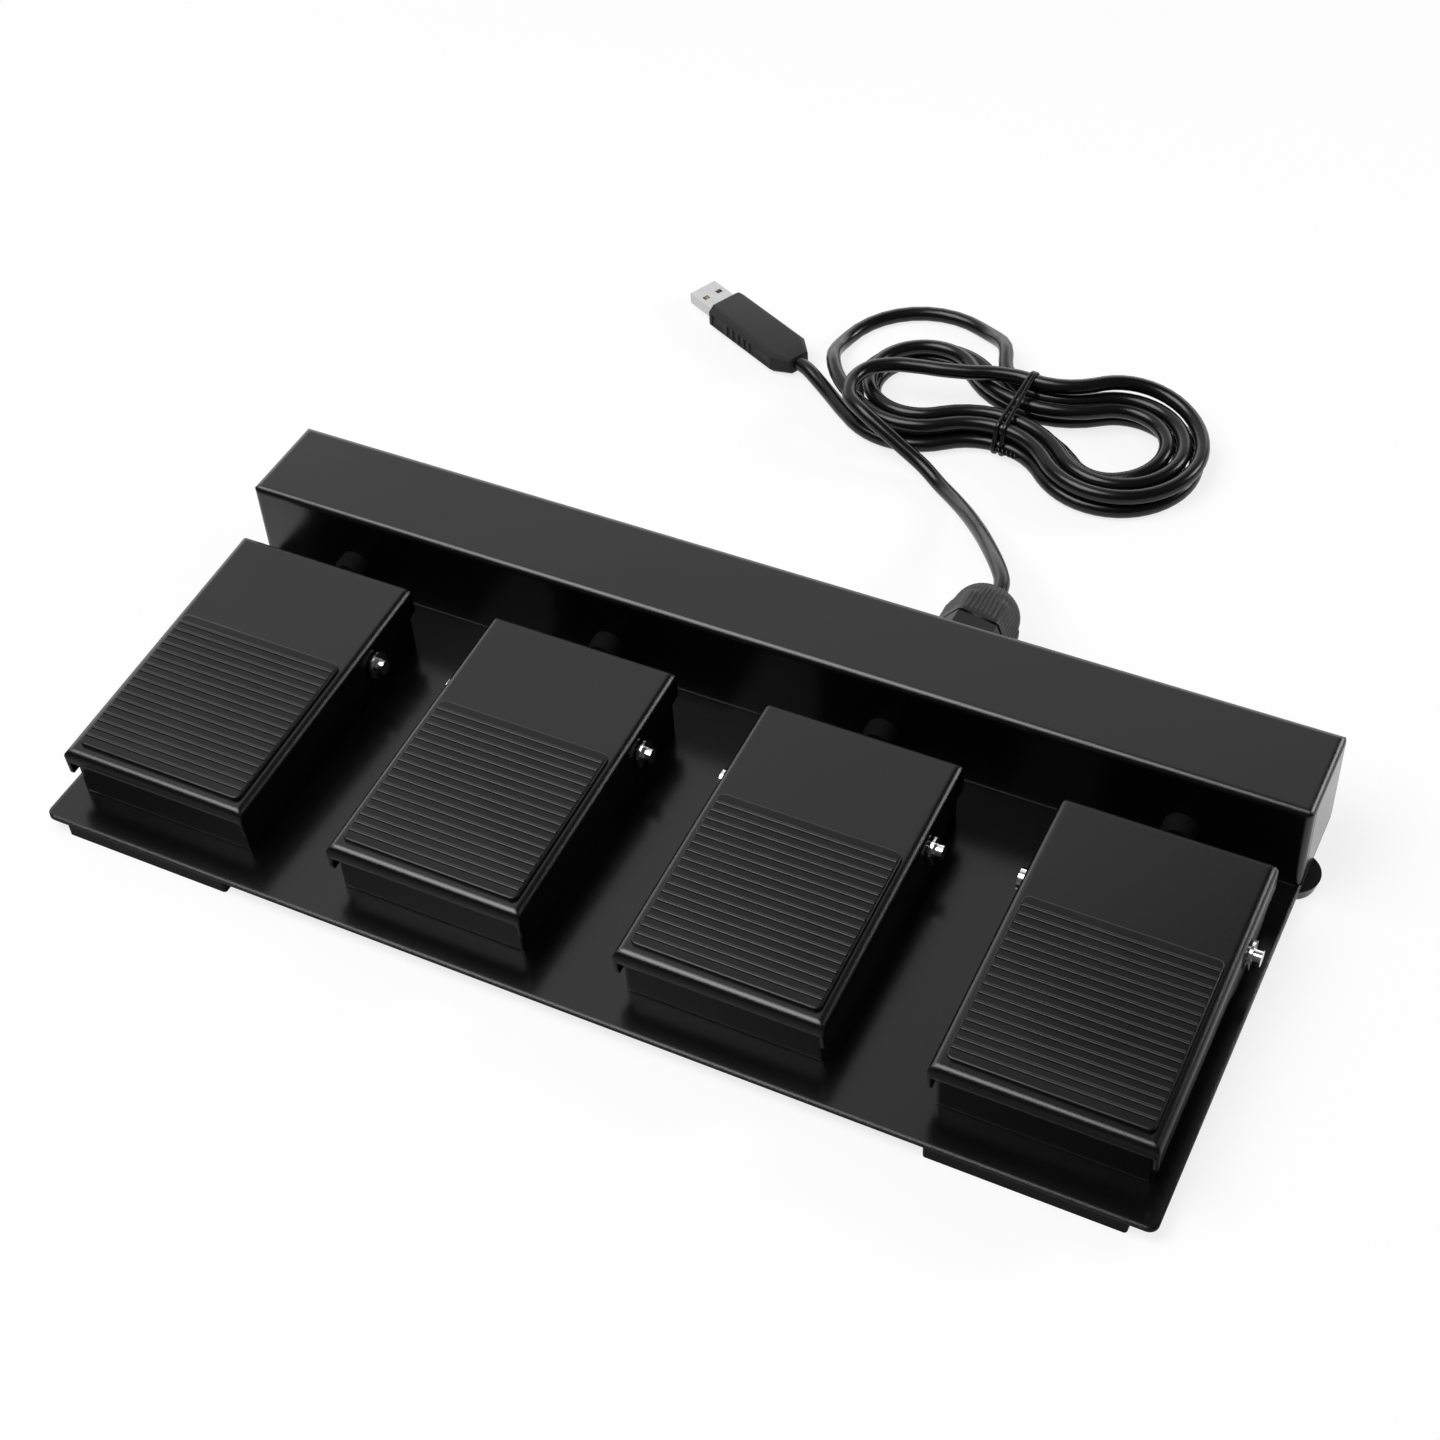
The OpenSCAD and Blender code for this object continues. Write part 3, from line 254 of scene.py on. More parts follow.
class Shading:
    """A node tree that is filled through one method."""

    def __init__(self, tree):
        self.tree = tree

    def node(self, kind, settings=None, inputs=None, output=0):
        """Add a node, set it up, feed its sockets and return one of its outputs."""
        node = self.tree.nodes.new(kind)
        for name, value in (settings or {}).items():
            setattr(node, name, value)
        for socket, value in (inputs or {}).items():
            self.feed(node.inputs[socket], value)
        return Channel(self, node.outputs[output])

    def feed(self, socket, value):
        """Link a channel to a socket, or set the socket to a plain value."""
        if isinstance(value, Channel):
            self.tree.links.new(value.socket, socket)
        else:
            socket.default_value = value

    def parts(self, place):
        """The three parts of a direction or a place."""
        return [self.node("ShaderNodeSeparateXYZ", {}, {0: place}, axis) for axis in "XYZ"]

    def fading(self, value, ends, way="SMOOTHSTEP"):
        """0 up to the first of two ends, 1 from the second on, and a slope between."""
        low, high = ends
        limits = {"From Min": low, "From Max": high, "Value": value}
        return self.node("ShaderNodeMapRange", {"interpolation_type": way}, limits)

    def clamped(self, value):
        """A value held between 0 and 1."""
        return self.node("ShaderNodeClamp", {}, {"Value": value})

    def ray_kinds(self):
        """Three channels that are 1 for rays that are seen, mirrored or passed on."""
        kinds = ("Is Camera Ray", "Is Glossy Ray", "Is Transmission Ray")
        return [self.node("ShaderNodeLightPath", output=kind) for kind in kinds]


class Finish(Shading):
    """One procedural material, painted in the frame's own coordinates."""

    def __init__(self, name, **constants):
        self.material = bpy.data.materials.new(FINISH_PREFIX + name)
        self.material.use_nodes = True
        super().__init__(self.material.node_tree)
        self.shader = self.tree.nodes["Principled BSDF"]
        self.place = self.node("ShaderNodeTexCoord", output="Object")
        for socket, value in constants.items():
            self.shader.inputs[socket.replace("_", " ")].default_value = value

    def stretched(self, scale):
        """The frame's coordinates, scaled differently along each axis."""
        return self.node("ShaderNodeVectorMath", {"operation": "MULTIPLY"}, {0: self.place, 1: scale})

    def noise(self, scale, detail=2.0, place=None):
        """Smooth noise from 0 to 1, with about `scale` grains to the metre."""
        inputs = {"Vector": place or self.place, "Scale": scale, "Detail": detail}
        return self.node("ShaderNodeTexNoise", {}, inputs)

    def cells(self, scale):
        """Distance to the nearest of scattered points."""
        return self.node("ShaderNodeTexVoronoi", {}, {"Vector": self.place, "Scale": scale})

    def mix(self, factor, first, second):
        """Blend two colours."""
        colours = {"Factor": factor, 6: opaque(first), 7: opaque(second)}
        return self.node("ShaderNodeMix", {"data_type": "RGBA"}, colours, output=2)

    def shades(self, factor, colour, darker, lighter):
        """Blend a darker and a lighter shade of one colour."""
        return self.mix(factor, scaled(colour, darker), scaled(colour, lighter))

    def bump(self, height, distance, strength=1.0, rounding=0.0):
        """A normal for fine relief, over edges that look rounded by a radius."""
        inputs = {"Height": height, "Distance": distance, "Strength": strength}
        if rounding:
            inputs["Normal"] = self.node("ShaderNodeBevel", {"samples": 6}, {"Radius": rounding})
        return self.node("ShaderNodeBump", {}, inputs, output="Normal")

    def paint(self, colour, roughness, normal=None):
        """Feed the shader and return the material."""
        self.feed(self.shader.inputs["Base Color"], opaque(colour))
        self.feed(self.shader.inputs["Roughness"], roughness)
        if normal is not None:
            self.feed(self.shader.inputs["Normal"], normal)
        return self.material


def opaque(colour):
    """A colour with an alpha of 1. Channels pass through unchanged."""
    return colour if isinstance(colour, Channel) else (*colour[:3], 1.0)


def scaled(colour, factor):
    """A colour made lighter or darker."""
    return tuple(min(1.0, factor * part) for part in colour)


def powder_coat(look):
    """Satin powder coat: fine orange peel, and gloss that drifts a little over the sheet."""
    finish = Finish("powder_coat", Specular_IOR_Level=0.45)
    edge_radius = 0.0016
    drift = finish.noise(16.0, 3.0)
    peel = finish.noise(950.0, 1.0)
    speck = finish.fading(finish.noise(2600.0, 0.0), (0.62, 0.74), "LINEAR")
    colour = finish.shades(0.7 * drift + 0.3 * speck, look.coat, 0.7, 1.4)
    roughness = look.coat_roughness + 0.07 * (drift - 0.5) + 0.05 * (peel - 0.5)
    return finish.paint(colour, roughness, finish.bump(peel + 0.25 * speck, 0.00003, 0.35, edge_radius))


def rubber(look):
    """Moulded rubber: matt, finely grained, with a trace of bloom."""
    finish = Finish("rubber", Specular_IOR_Level=0.22)
    bloom = finish.noise(60.0, 4.0)
    grain = finish.noise(3200.0, 2.0)
    colour = finish.shades(bloom, look.rubber, 0.75, 1.45)
    roughness = look.rubber_roughness + 0.12 * (bloom - 0.5) + 0.08 * (grain - 0.5)
    return finish.paint(colour, roughness, finish.bump(grain, 0.00004, 0.5))


def dull_rubber(look):
    """Cured rubber of the grommets, in patches of uneven tone and without gloss, painted darker than the
    pads' rubber as painted shade.
    """
    finish = Finish("dull_rubber", Specular_IOR_Level=0.1)
    tone_patches = finish.noise(220.0, 3.0)
    grain = finish.noise(2800.0, 2.0)
    # Two darker shades of the pads' rubber: painted shade for where the grommets sit behind the treadles.
    colour = finish.shades(tone_patches, look.rubber, 0.4, 0.8)
    return finish.paint(colour, 0.75 + 0.1 * (tone_patches - 0.5), finish.bump(grain, 0.00004, 0.4))


def cord_jacket(look):
    """Smooth PVC that shows the faint lay of the cores under it."""
    finish = Finish("cord_jacket", Specular_IOR_Level=0.3)
    drift = finish.noise(45.0, 3.0)
    skin = finish.noise(700.0, 2.0)
    colour = finish.shades(drift, look.jacket, 0.8, 1.35)
    roughness = look.jacket_roughness + 0.1 * (drift - 0.5) + 0.06 * (skin - 0.5)
    return finish.paint(colour, roughness, finish.bump(0.8 * drift + 0.2 * skin, 0.00006, 0.12))


def moulded_grip(look):
    """Matt PVC moulded round the plug."""
    finish = Finish("moulded_grip", Specular_IOR_Level=0.15)
    flow = finish.noise(90.0, 3.0)
    grain = finish.noise(2600.0, 2.0)
    colour = finish.shades(flow, look.grip, 0.85, 1.15)
    return finish.paint(colour, 0.55 + 0.1 * (flow - 0.5), finish.bump(grain, 0.00003, 0.3))


def black_plastic(look):
    """Moulded nylon with a spark-eroded grain."""
    finish = Finish("black_plastic", Specular_IOR_Level=0.3)
    flow = finish.noise(70.0, 3.0)
    grain = finish.cells(2400.0)
    colour = finish.shades(flow, look.plastic, 0.8, 1.4)
    roughness = look.plastic_roughness + 0.1 * (flow - 0.5) + 0.06 * (grain - 0.5)
    return finish.paint(colour, roughness, finish.bump(grain, 0.00005, 0.4))


def white_nylon(look):
    """Natural nylon, a little cloudy."""
    finish = Finish("white_nylon")
    cloud = finish.noise(150.0, 3.0)
    grain = finish.noise(2600.0, 1.0)
    colour = finish.shades(cloud, look.nylon, 0.9, 1.05)
    return finish.paint(colour, 0.42 + 0.12 * (cloud - 0.5), finish.bump(grain, 0.00003, 0.3))


def red_plastic(look):
    """Glossy moulded plunger."""
    finish = Finish("red_plastic")
    flow = finish.noise(300.0, 2.0)
    colour = finish.shades(flow, look.plunger, 0.85, 1.15)
    return finish.paint(colour, 0.28 + 0.1 * (flow - 0.5), finish.bump(flow, 0.00002, 0.3))


def board_laminate(look):
    """Solder mask over copper tracks that run along the board."""
    finish = Finish("board_laminate")
    weave = finish.noise(900.0, 2.0)
    track_noise = finish.noise(1.0, 1.0, finish.stretched((90.0, 800.0, 90.0)))
    track = finish.fading(track_noise, (0.5, 0.54), "LINEAR")
    colour = finish.shades(0.7 * track + 0.3 * weave, look.laminate, 0.8, 1.7)
    return finish.paint(colour, 0.38 + 0.1 * (weave - 0.5), finish.bump(track, 0.00003, 0.5))


# Each metal has its plating's colour, its roughness, the lines to the metre along each axis and their depth
METALS = {
    "chrome_pin": ("chrome", 0.14, (9000.0, 500.0, 500.0), 0.00001),
    "bright_steel": ("steel", 0.3, (2500.0, 2500.0, 900.0), 0.00001),
    "plug_metal": ("nickel", 0.24, (700.0, 3200.0, 3200.0), 0.000008),
    "contact_gold": ("gold", 0.22, (900.0, 3000.0, 3000.0), 0.000006),
}


def worked_metal(look, slot):
    """Plated metal with fine working lines."""
    plating, roughness, lines, scratch = METALS[slot]
    finish = Finish(slot, Metallic=1.0)
    tarnish = finish.noise(180.0, 3.0)
    line = finish.noise(1.0, 3.0, finish.stretched(lines))
    colour = finish.shades(0.6 * tarnish + 0.4 * line, getattr(look, plating), 0.86, 1.08)
    gloss = roughness + 0.12 * (tarnish - 0.5) + 0.1 * (line - 0.5)
    return finish.paint(colour, gloss, finish.bump(line, scratch, 0.4))


MAKERS = (
    powder_coat, rubber, dull_rubber, cord_jacket, moulded_grip, black_plastic, white_nylon, red_plastic,
    board_laminate,
)
PAINTS = {maker.__name__: maker for maker in MAKERS}


def finish_of(slot):
    """The material of a finish, made the first time that it is asked for."""
    made = bpy.data.materials.get(FINISH_PREFIX + slot)
    if made:
        return made
    look = bpy.context.scene.pedal_finishes
    return worked_metal(look, slot) if slot in METALS else PAINTS[slot](look)


def dress(slot, *names):
    """Give CAD nodes the finish of a slot."""
    for name in names:
        for place in frame["nodes"][name].material_slots:
            place.material = finish_of(slot)


def add_object(name, data):
    """Put new data into the scene under a name."""
    made = bpy.data.objects.new(name, data)
    bpy.context.scene.collection.objects.link(made)
    return made


def mesh_of(name, shape):
    """Turn a bmesh into a mesh, and free it."""
    mesh = bpy.data.meshes.new(name)
    shape.to_mesh(mesh)
    shape.free()
    return mesh


def soften(mesh, crease):
    """Shade a mesh smooth, apart from edges sharper than an angle in degrees."""
    mesh.shade_smooth()
    mesh.set_sharp_from_angle(angle=math.radians(crease))


def add_piece(name, shape, slot, body="base", nodes=(), crease=35.0):
    """Turn a bmesh into a piece that rides on a body and stands for CAD nodes."""
    bmesh.ops.recalc_face_normals(shape, faces=shape.faces)
    mesh = mesh_of(name, shape)
    soften(mesh, crease)
    mesh.materials.append(finish_of(slot))
    piece = add_object(name, mesh)
    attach(piece, body)
    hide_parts(*nodes)
    return piece


def add_tube(name, path, radius, sides, slot, node):
    """Make a round tube along a path, which stands for a CAD node."""
    shape = bmesh.new()
    sweep(shape, path, round_section(radius, sides))
    return add_piece(name, shape, slot, "base", [node], TUBE_CREASE)


def bridge(shape, rings, closed=False):
    """Join rings of vertices with quads, and the last to the first where they close."""
    pairs = list(zip(rings, rings[1:]))
    if closed:
        pairs.append((rings[-1], rings[0]))
    for low, high in pairs:
        count = len(low)
        for i in range(count):
            k = (i + 1) % count
            shape.faces.new((low[i], low[k], high[k], high[i]))


def loft(shape, rings):
    """Join rings of vertices with quads, and cap both ends."""
    bridge(shape, rings)
    shape.faces.new(rings[0])
    shape.faces.new(rings[-1])


def sweep(shape, path, section, closed=False):
    """Carry a flat section, a list of (side, lift) pairs, along a path without twist."""
    count = len(path)
    steep = 0.9
    lift = UP if abs((path[1] - path[0]).normalized().z) < steep else Vector((0.0, 1.0, 0.0))
    rings = []
    for i, point in enumerate(path):
        before = path[i - 1] if i or closed else point
        after = path[(i + 1) % count] if closed or i < count - 1 else point
        ahead = (after - before).normalized()
        lift = (lift - ahead * lift.dot(ahead)).normalized()
        side = ahead.cross(lift)
        rings.append([shape.verts.new(point + side * a + lift * b) for a, b in section])
    if closed:
        bridge(shape, rings, closed)
    else:
        loft(shape, rings)


def round_section(radius, sides):
    """Points of a circle, for sweep()."""
    angles = [2.0 * math.pi * i / sides for i in range(sides)]
    return [(radius * math.cos(a), radius * math.sin(a)) for a in angles]


def smooth_run(points, steps):
    """Points on a smooth curve through the given ones, without overshoot at uneven spacing."""
    first = 2.0 * points[0] - points[1]
    last = 2.0 * points[-1] - points[-2]
    guides = [first, *points, last]
    run = []
    for four in zip(guides, guides[1:], guides[2:], guides[3:]):
        knots = [0.0]
        for near, far in zip(four, four[1:]):
            knots.append(knots[-1] + math.sqrt((far - near).length))
        for step in range(steps):
            at = knots[1] + (knots[2] - knots[1]) * step / steps
            run.append(curve_point(four, knots, at))
    run.append(points[-1].copy())
    return run


def curve_point(points, knots, at):
    """One point of the curve between the second and third of four points."""
    rows = (((0, 1), (1, 2), (2, 3)), ((0, 2), (1, 3)), ((1, 2),))
    level = points
    for row in rows:
        pairs = zip(level, level[1:], row)
        level = [p.lerp(q, (at - knots[i]) / (knots[k] - knots[i])) for p, q, (i, k) in pairs]
    return level[0]


def pivot_of(pedal):
    """The point of a pedal's joint."""
    for joint in frame["joints"]:
        if joint["name"] == f"pedal_{pedal}_press":
            return Vector(joint["pos_m"])
    raise RuntimeError(f"the frame has no joint for pedal {pedal}")


def ease(u):
    """Smooth step from 0 to 1."""
    u = min(1.0, max(0.0, u))
    return u * u * (3.0 - 2.0 * u)


class Hank:
    """Loops of cord with two lobes and a drawn-in waist, wound inward and then outward."""

    # In turns from the start, apart from the last, which is a length
    climb = (2.2, 2.5)
    entry = 0.22
    loose_middle = 0.835
    loose_half = 0.18
    loose_drop = 0.009

    def __init__(self, cord):
        self.cord = cord
        self.lobe_x = cord.reach - cord.lobe
        self.waist_r = (self.lobe_x**2 + cord.waist**2 - cord.lobe**2) / (2.0 * (cord.lobe - cord.waist))
        self.waist_angle = math.atan2(self.lobe_x, cord.waist + self.waist_r)
        self.waist_arc = self.waist_r * self.waist_angle
        self.lobe_arc = cord.lobe * (math.pi / 2.0 + self.waist_angle)

    def quarter(self, run, inset):
        """A point of the loop's first quarter, a given run from the waist."""
        cord = self.cord
        if run < self.waist_arc:
            a = run / self.waist_r
            r = self.waist_r + inset
            return r * math.sin(a), cord.waist + self.waist_r - r * math.cos(a)
        a = math.pi / 2.0 + self.waist_angle - (run - self.waist_arc) / cord.lobe
        r = cord.lobe - inset
        return self.lobe_x + r * math.cos(a), r * math.sin(a)

    def flat_point(self, turn):
        """A point in the hank's own axes, before it is turned and placed."""
        f = turn % 1.0
        half = f % 0.5
        share = half if half <= 0.25 else 0.5 - half
        x, y = self.quarter(4.0 * share * (self.waist_arc + self.lobe_arc), self.inset(turn))
        return (x if f < 0.5 else -x), (y if f < 0.25 or f > 0.75 else -y)

    def bulge(self, turn):
        """How far the one loose loop stands out."""
        u = (turn - self.loose_middle) / self.loose_half
        return self.cord.bulge * math.cos(math.pi / 2.0 * u) ** 2 if abs(u) < 1.0 else 0.0

    def entry_angle(self, turn):
        """A quarter turn by which the first strand comes down into its place."""
        return math.pi / 2.0 * ease(turn / self.entry)

    def inset(self, turn):
        """How far a strand lies inside the outer loop."""
        cord = self.cord
        loops = min(turn, cord.turns - turn) + 1.0 - math.sin(self.entry_angle(turn))
        return cord.loop_step * loops - self.bulge(turn)

    def height(self, turn):
        """Height of a strand's middle above the floor."""
        cord = self.cord
        start, end = self.climb
        layers = 1.0 - ease((turn - start) / (end - start)) + math.cos(self.entry_angle(turn))
        layers -= ease((self.bulge(turn) - self.loose_drop) / self.loose_drop)
        lift = cord.lift * math.cos(2.0 * math.pi * turn) ** 4
        return cord.diameter / 2.0 + cord.layer_step * layers + lift

    def placed(self, x, y, z):
        """A point of the hank's own axes, in the frame."""
        return Vector(self.cord.centre) + Matrix.Rotation(self.cord.heading, 3, "Z") @ Vector((x, y, z))

    def route(self, steps):
        """Points along the whole hank, a number of steps to the turn."""
        count = round(self.cord.turns * steps)
        turns = [self.cord.turns * i / count for i in range(count + 1)]
        return [self.placed(*self.flat_point(turn), self.height(turn)) for turn in turns]


def cord_route(cord):
    """Centreline of the cord, from the gland through the hank to the plug."""
    loops = Hank(cord).route(steps=96)
    start_way = (loops[1] - loops[0]).normalized()
    end_way = (loops[-1] - loops[-2]).normalized()
    plug_way = Vector((math.cos(PLUG_HEADING), math.sin(PLUG_HEADING), 0.0))
    plug_mouth = PLUG_REAR + Vector((0.0, 0.0, PLUG_HEIGHT / 2.0))
    straight = cord.diameter
    steps = 8
    free = [GLAND_MOUTH, GLAND_MOUTH + Vector((0.0, straight, 0.0))]
    free += [Vector(p) for p in FREE_RUN]
    free += [loops[0] - straight * start_way, loops[0]]
    tail = [loops[-1], loops[-1] + straight * end_way]
    tail += [Vector(p) for p in TAIL_RUN]
    tail += [plug_mouth - straight * plug_way, plug_mouth]
    return smooth_run(free, steps)[:-1] + loops[:-1] + smooth_run(tail, steps)


def pad_shape(pad):
    """A pad with its ribs, in the treadle's axes: the pivot axis is x, and z is square to the sheet."""
    shape = bmesh.new()
    half = pad.width / 2.0
    low = pad.rise
    top = pad.rise + pad.sheet
    rings = []
    for inset, z in pad_edge(pad, low, top):
        outline = rounded_square(half - inset, pad.corner - inset)
        rings.append([shape.verts.new((x, y, z)) for x, y in outline])
    loft(shape, rings)
    pitch = (pad.width - 2.0 * pad.margin) / pad.rib_count
    for k in range(pad.rib_count):
        add_rib(shape, pad, pad.margin - half + (k + 0.5) * pitch, top)
    bmesh.ops.translate(shape, verts=shape.verts, vec=(0.0, half - pad.reach, 0.0))
    return shape


def pad_edge(pad, low, top):
    """Insets and heights up the side of a pad and over its rounded edge."""
    steps = 7
    yield 0.0, low
    for i in range(steps + 1):
        a = math.pi / 2.0 * i / steps
        yield pad.edge * (1.0 - math.cos(a)), top - pad.edge_drop * (1.0 - math.sin(a))


def rounded_square(half, radius):
    """Corner points of a square with round corners, anticlockwise."""
    corners = ((1, 1, 0.0), (-1, 1, 90.0), (-1, -1, 180.0), (1, -1, 270.0))
    steps = 6
    inner = half - radius
    points = []
    for sx, sy, start in corners:
        for i in range(steps + 1):
            a = math.radians(start + 90.0 * i / steps)
            points.append((sx * inner + radius * math.cos(a), sy * inner + radius * math.sin(a)))
    return points


def add_rib(shape, pad, y, top):
    """One low rib with an arched top and sloping ends."""
    half = pad.rib_width / 2.0
    radius = (half**2 + pad.rib_height**2) / (2.0 * pad.rib_height)
    reach = math.asin(half / radius)
    steps = 12
    sink = 0.0001
    profile = [(-half, -sink)]
    for i in range(steps + 1):
        a = reach * (2.0 * i / steps - 1.0)
        profile.append((radius * math.sin(a), radius * math.cos(a) - radius + pad.rib_height))
    profile.append((half, -sink))
    end = pad.width / 2.0 - pad.rib_inset
    rings = []
    for sign in (-1.0, 1.0):
        ends = [(sign * (end - max(0.0, lift)), y + across, top + lift) for across, lift in profile]
        rings.append([shape.verts.new(point) for point in ends])
    loft(shape, rings)


def gland_nut_shape():
    """A gland nut along +Y: a hexagon that runs into a ribbed dome round the cord."""
    hex_r = 0.0134
    flat_r = hex_r * math.cos(math.radians(30.0))
    corner_cut = 0.0004
    mouth_r = 0.00525
    bore_r = 0.00285
    bore_depth = 0.004
    seat_w = 0.004
    nut_l = 0.012
    dome_l = 0.0075
    dome_steps = 10
    end = nut_l + dome_l
    sides = 288
    ridges = 48
    ridge_depth = 0.00028
    hex_turn = math.radians(10.0)
    shape = bmesh.new()

    def ring(along, limit, hexed, ridge):
        verts = []
        for i in range(sides):
            a = 2.0 * math.pi * i / sides
            corner = (a - hex_turn) % (math.pi / 3.0) - math.pi / 6.0
            hexagon = min(flat_r / math.cos(corner), hex_r - corner_cut)
            r = min(limit, hexed * hexagon + (1.0 - hexed) * min(limit, flat_r))
            r -= ridge * ridge_depth * (0.5 + 0.5 * math.cos(ridges * a)) ** 2
            verts.append(shape.verts.new((r * math.cos(a), along, -r * math.sin(a))))
        return verts

    # Each ring has its place along the axis, its largest radius, and shares of hexagon and of ridges
    stations = [
        (0.0, bore_r + seat_w, 0.0, 0.0),
        (0.0, flat_r - corner_cut, 0.0, 0.0),
        (0.0006, hex_r, 1.0, 0.0),
        (0.0030, hex_r, 1.0, 0.0),
        (0.0034, hex_r, 1.0, 1.0),
        (nut_l - 0.003, hex_r, 1.0, 1.0),
        (nut_l - 0.0015, hex_r - 0.0008, 0.8, 1.0),
    ]
    for i in range(dome_steps + 1):
        a = math.pi / 2.0 * i / dome_steps
        limit = mouth_r + (flat_r - mouth_r) * math.cos(a)
        stations.append((nut_l + dome_l * math.sin(a), limit, 0.0, 1.0 - i / dome_steps))
    stations += [(end, bore_r, 0.0, 0.0), (end - bore_depth, bore_r, 0.0, 0.0)]
    bridge(shape, [ring(*station) for station in stations])
    return shape


def overmould_shape():
    """The plug's grip along +X: an eight-sided section that tapers to the cord."""
    half_w = PLUG_HALF_WIDTH
    half_h = PLUG_HEIGHT / 2.0
    bevel = 0.0022
    # Each station has its place, half width, half height and the size of its cut corners
    stations = (
        (0.0, 0.0045, 0.0035, 0.0012),
        (0.007, half_w, half_h, bevel),
        (0.044, half_w, half_h, bevel),
        (0.045, half_w - 0.0008, half_h - 0.0006, bevel),
    )
    shape = bmesh.new()
    rings = []
    for x, w, h, b in stations:
        above = ((w, h - b), (w - b, h), (b - w, h), (-w, h - b))
        below = ((-w, b - h), (b - w, -h), (w - b, -h), (w, b - h))
        rings.append([shape.verts.new((x, y, z + half_h)) for y, z in above + below])
    loft(shape, rings)
    return shape


def grip_cutters():
    """Boxes that cut the grip's recesses: a panel at each end and four slots between, on both sides."""
    depth = 0.0006
    low = 0.0026
    high = PLUG_HEIGHT - low
    slot_start = 0.0206
    slot_end = 0.0228
    slot_pitch = 0.0034
    spans = [(0.0085, 0.0196), (0.0348, 0.0425)]
    spans += [(slot_start + slot_pitch * i, slot_end + slot_pitch * i) for i in range(4)]
    shape = bmesh.new()
    for start, end in spans:
        for side in (-1.0, 1.0):
            size = Vector((end - start, 2.0 * depth, high - low))
            middle = Vector(((start + end) / 2.0, side * PLUG_HALF_WIDTH, PLUG_HEIGHT / 2.0))
            place = Matrix.Translation(middle) @ Matrix.Diagonal((*size, 1.0))
            bmesh.ops.create_cube(shape, size=1.0, matrix=place)
    return shape


def settled(piece, crease):
    """Apply a piece's modifiers to its mesh."""
    depsgraph = bpy.context.evaluated_depsgraph_get()
    mesh = bpy.data.meshes.new_from_object(piece.evaluated_get(depsgraph))
    piece.modifiers.clear()
    piece.data = mesh
    soften(mesh, crease)


def coil_path(centre, radius, low, high, turns, steps):
    """Points of a coil spring of even pitch."""
    count = turns * steps
    points = []
    for i in range(count + 1):
        share = i / count
        a = 2.0 * math.pi * turns * share
        rise = low + (high - low) * share
        points.append(Vector((centre.x + radius * math.cos(a), centre.y + radius * math.sin(a), rise)))
    return points


def lead_route(pedal):
    """Centreline of a pedal's lead, from its switch to its socket on the board."""
    x = pivot_of(pedal).x
    level = 0.017
    board_edge = 0.059
    start = (
        (0.0019, 0.0133), (0.0059, 0.0133), (0.011, 0.0139), (0.019, 0.01515),
        (0.026, level), (0.035, level), (0.0475, level), (0.0525, level),
    )
    points = [Vector((x, y, z)) for y, z in start]
    if pedal in (2, 3):
        return points + [Vector((x, board_edge, level))]
    inward = -math.copysign(1.0, x)
    bend = 0.0095
    corner = points[-1].y
    lane = corner + bend
    for degrees in (30.0, 60.0, 90.0):
        a = math.radians(degrees)
        points.append(Vector((x + inward * bend * (1.0 - math.cos(a)), corner + bend * math.sin(a), level)))
    socket = math.copysign(0.069, x)
    straight = 0.004
    for along in ((points[-1].x + socket) / 2.0, socket - inward * straight, socket):
        points.append(Vector((along, lane, level)))
    return points


class PEDALS_OT_sheet_metal(bpy.types.Operator):
    """Powder coat the plate, the housing, the trays and the treadles"""

    bl_idname = "pedals.sheet_metal"
    bl_label = "Sheet Metal"

    def execute(self, context):
        dress("powder_coat", "base_plate", "housing_shell")
        for pedal in PEDALS:
            dress("powder_coat", f"pedal_tray_{pedal}", f"treadle_{pedal}")
        return {"FINISHED"}


class PEDALS_OT_tread_pads(bpy.types.Operator):
    """Lay a ribbed rubber pad on each treadle"""

    bl_idname = "pedals.tread_pads"
    bl_label = "Tread Pads"

    def execute(self, context):
        pad = context.scene.pedal_pads
        crease = 50.0
        for pedal in PEDALS:
            shape = pad_shape(pad)
            place = Matrix.Translation(pivot_of(pedal)) @ Matrix.Rotation(pad.tilt, 4, "X")
            bmesh.ops.transform(shape, matrix=place, verts=shape.verts)
            nodes = [f"tread_pad_{pedal}"]
            add_piece(f"ribbed_pad_{pedal}", shape, "rubber", f"pedal_{pedal}", nodes, crease)
        return {"FINISHED"}


class PEDALS_OT_feet(bpy.types.Operator):
    """Finish the strip feet, the round feet and the grommets in rubber"""

    bl_idname = "pedals.feet"
    bl_label = "Feet and Grommets"

    def execute(self, context):
        dress("rubber", "front_foot_left", "front_foot_right", "rear_foot_left", "rear_foot_right")
        dress("dull_rubber", "left_lead_grommet", "lead_grommets")
        return {"FINISHED"}


class PEDALS_OT_fasteners(bpy.types.Operator):
    """Plate the pivot pins, their clips and the screws"""

    bl_idname = "pedals.fasteners"
    bl_label = "Pins and Screws"

    def execute(self, context):
        dress("chrome_pin", "pivot_pins", "pivot_clips")
        dress("bright_steel", "sheet_screws", "rear_foot_screws", "board_screws", "switch_screws")
        return {"FINISHED"}


class PEDALS_OT_switches(bpy.types.Operator):
    """Finish the micro switches and their plungers"""

    bl_idname = "pedals.switches"
    bl_label = "Switches"

    def execute(self, context):
        for pedal in PEDALS:
            dress("black_plastic", f"micro_switch_{pedal}")
            dress("red_plastic", f"switch_plunger_{pedal}")
        return {"FINISHED"}


